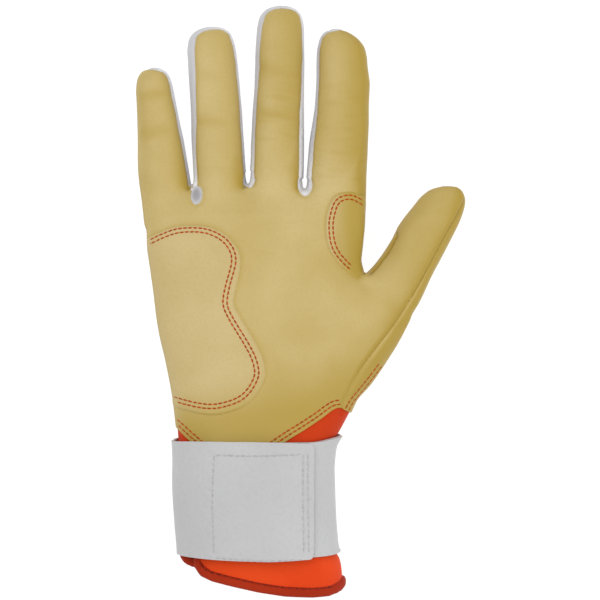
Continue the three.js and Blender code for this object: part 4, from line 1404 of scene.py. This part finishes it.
back_lap = smooth_step(points[:, 0], LAP_FROM, LAP_TO) * LAP_DROP * (height > CUFF_SEAM)
cuff_tone = CUFF_DEEP * smooth_step(points[:, 1], *CUFF_SHADE)
for side, lap in (("front", 0 * back_lap), ("back", back_lap)):
    cuff, hem = cuff_layer(lap), hem_layer(lap)
    sew(f"cuff_{side}", ORANGE, CUFF_THICK, layer=cuff, tone=cuff_tone, lining=ORANGE)
    sew(f"hem_{side}", HEM, HEM_THICK, layer=hem, lining=HEM)
print("sewn:", len(sewn))

# %% Sew the strap
STRAP_THICK = 1.3
STRIP_THICK = 0.8
STRIP_LAYERS = {"loop_strip": 1.4, "hook_strip": 0.3}  # millimetres below the tab
BAND_LAYER = 1.6
TAB_RISE = 3.8  # of the tab over the band, by the hook and loop strips
TAB_DROOP, DROOP_LENGTH = 0.45, 8  # share of that rise lost at the tab's free end, and the length
PUCKER, PUCKER_REACH = 0.14, 3.5  # of the cloth beside the stitch rows
STRAP_ROWS = (((215, 454), (213, 500), (215, 555)), ((303, 453), (303, 500), (304, 557)),
              ((308, 453), (308, 500), (309, 557)), ((216, 454), (260, 455), (302, 453)),
              ((216, 556), (260, 559), (303, 558)))

palm_up = np.maximum(normals[:, 2], 0)
strap_rows = [seen_line(row) for row in STRAP_ROWS]
from_rows = np.min([from_polyline(points, row)[0] for row in strap_rows], axis=0)
puckers = PUCKER * wander(points, 1.8, 8) * bell(from_rows, PUCKER_REACH)


def tab_layer(inward, pick):
    """The tab lies on the band at the pinky side, rises over the strips and drops again at its free end."""
    droop = smooth_step(pick(tab_end), DROOP_LENGTH, 0)
    return BAND_LAYER + TAB_RISE * pick(palm_up) * (1 - TAB_DROOP * droop) + pick(puckers)


def under_tab(below):
    """A strip's layer, so far below the tab's underside."""
    return lambda inward, pick: BAND_LAYER - STRAP_THICK + TAB_RISE * pick(palm_up) - below


sew("strap_band", STRAP, STRAP_THICK, layer=at_height(BAND_LAYER), lining=STRAP)
sew("strap_tab", STRAP, STRAP_THICK, layer=tab_layer, lining=STRAP)
for node, below in STRIP_LAYERS.items():
    sew(node, LOOPS, STRIP_THICK, layer=under_tab(below), lining=LOOPS)
print("sewn:", len(sewn))

# %% [markdown]
# ### Stitches
# A sewing machine leaves a row of short thread lengths that dive into the leather at both ends. Each one
# here is a small stretched ball, sunk to its middle. A row is dropped from above onto the finished piece it
# holds.

# %% Make stitch rows
STITCH_PITCH, STITCH_SHARE = 2.2, 0.92  # from stitch to stitch, and the share of it that the thread fills
STITCH_HALF_WIDTH, STITCH_HALF_HEIGHT = 0.38, 0.28
STITCH_SKEW = 0.04  # how unevenly the stitches lie
STEEPEST_UP = 0.2  # no stitch is set where the piece faces up less than this
LONGEST = 2.2  # nor where the next hole is more pitches away
DROP_HEIGHT = 0.1  # metres above the bench, from where rows are dropped
stitch_draw = np.random.default_rng(5)


def even_steps(line, pitch):
    """Points along a plan line, one pitch apart."""
    line = np.asarray(line)[:, :2]
    passed = np.concatenate(((0,), np.cumsum(np.linalg.norm(np.diff(line, axis=0), axis=1))))
    stops = np.arange(0, passed[-1], pitch)
    return np.stack([np.interp(stops, passed, line[:, axis]) for axis in (0, 1)], 1)


def stitch_rows(name, on, rows, finish, pitch=STITCH_PITCH):
    """One piece with all the stitches of some rows on a sewn panel."""
    tree = tree_of(sewn[on].data)
    bm = bmesh.new()
    count = 0
    for row in rows:
        holes = [Vector((*stop * MM, DROP_HEIGHT)) for stop in even_steps(row, pitch)]
        hits = [tree.ray_cast(hole, Vector((0, 0, -1))) for hole in holes]
        for (start, up, *_), (end, *_) in zip(hits, hits[1:]):
            if start is None or end is None or up.z < STEEPEST_UP:
                continue
            length = (end - start).length
            if length > LONGEST * pitch * MM:
                continue
            ahead = (end - start).normalized()
            ahead = (ahead + Vector(stitch_draw.normal(0, STITCH_SKEW, 3))).normalized()
            side = up.cross(ahead).normalized()
            sizes = (STITCH_HALF_WIDTH * MM, STITCH_HALF_HEIGHT * MM, length * STITCH_SHARE / 2)
            columns = [direction * size for direction, size in zip((side, ahead.cross(side), ahead), sizes)]
            matrix = Matrix(columns).transposed().to_4x4()
            matrix.translation = (start + end) / 2
            bmesh.ops.create_uvsphere(bm, u_segments=8, v_segments=6, radius=1, matrix=matrix)
            count += 1
    for face in bm.faces:
        face.smooth = True
    obj = add_object(name, mesh_from(bm, name))
    obj.data.materials.append(finish)
    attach(obj, body_of[on])
    print(name, count, "stitches")


print("a stitch is", round(STITCH_PITCH * STITCH_SHARE, 1), "mm long")

# %% Stitch the pieces
SEWN_SHARE = 0.91  # of the index patch's row; its last part has no stitches
TONGUE_INSET, HEM_INSET = 1.6, 0.3  # of the rows from the edge
STRAP_PITCH, HEM_PITCH = 2.6, 2.8
SIDE_ROW = ((382, 366), (373, 378), (362.5, 391), (353.5, 402), (348.5, 411))

sewn_end = index_row[: int(len(index_row) * SEWN_SHARE)]
side_row = seen_line(SIDE_ROW)
hem_row = shifted(smooth_line(cuff_end_line[1:-1]), HEM_WIDTH - HEM_INSET)
heel_rows = heel_row, shifted(heel_row, -ROW_GAP)
index_rows = sewn_end, shifted(sewn_end, ROW_GAP)
tongue_rows = [shifted(tongue_line, inset) for inset in (TONGUE_INSET, TONGUE_INSET + ROW_GAP)]
side_rows = side_row, shifted(side_row, -ROW_GAP)
stitch_rows("heel_stitches", "heel_patch", heel_rows, THREAD)
stitch_rows("index_stitches", "index_patch", index_rows, THREAD)
stitch_rows("tongue_stitches", "palm_panel", tongue_rows, THREAD)
stitch_rows("side_stitches", "thumb_side_panel", side_rows, THREAD)
stitch_rows("strap_stitches", "strap_tab", strap_rows, STRAP_THREAD, STRAP_PITCH)
stitch_rows("hem_stitches", "hem_front", (hem_row,), HEM_THREAD, HEM_PITCH)

# %% [markdown]
# ## Floor and light
# The photograph is a bright cut-out on white: a large soft light from the upper left, a weaker one from the
# right, and white all round.

# %% Floor and world
FLOOR_SIZE = 30  # metres, so that its edge is never in view
WORLD_STRENGTH = 0.43

floor_bm = bmesh.new()
bmesh.ops.create_grid(floor_bm, x_segments=1, y_segments=1, size=FLOOR_SIZE)
floor = add_object("floor", mesh_from(floor_bm, "floor"))
floor_finish = Finish("pale floor", base=(0.2, 0.2, 0.2, 1), roughness=0.9, glow=0.9)
floor_finish.feed(floor_finish.shader.inputs["Emission Color"], (1, 1, 1, 1))
floor.data.materials.append(floor_finish.material)
floor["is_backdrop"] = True

world = bpy.data.worlds.new("studio")
world.use_nodes = True
background = world.node_tree.nodes["Background"]
background.inputs["Color"].default_value = (1, 1, 1, 1)
background.inputs["Strength"].default_value = WORLD_STRENGTH
bpy.context.scene.world = world
bpy.context.scene.view_settings.view_transform = "Standard"
print("floor with", len(floor.data.vertices), "corners in a white world")

# %% Lights
LIGHT_SIZE = 1.1
LIGHTS = {  # place in metres, and power in watts
    "key": ((-0.4, 0.34, 1.15), 8.5),
    "fill": ((0.8, -0.25, 0.75), 5),
}
for name, (place, power) in LIGHTS.items():
    light = bpy.data.lights.new(name, "AREA")
    light.size = LIGHT_SIZE
    light.energy = power
    obj = add_object(name, light)
    obj.location = place
    obj.rotation_euler = (-Vector(place)).to_track_quat("-Z", "Y").to_euler()
print("lights:", ", ".join(LIGHTS))

# %% Sizes
low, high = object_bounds()
print("visual box in mm:", [round(side / MM, 1) for side in high - low])
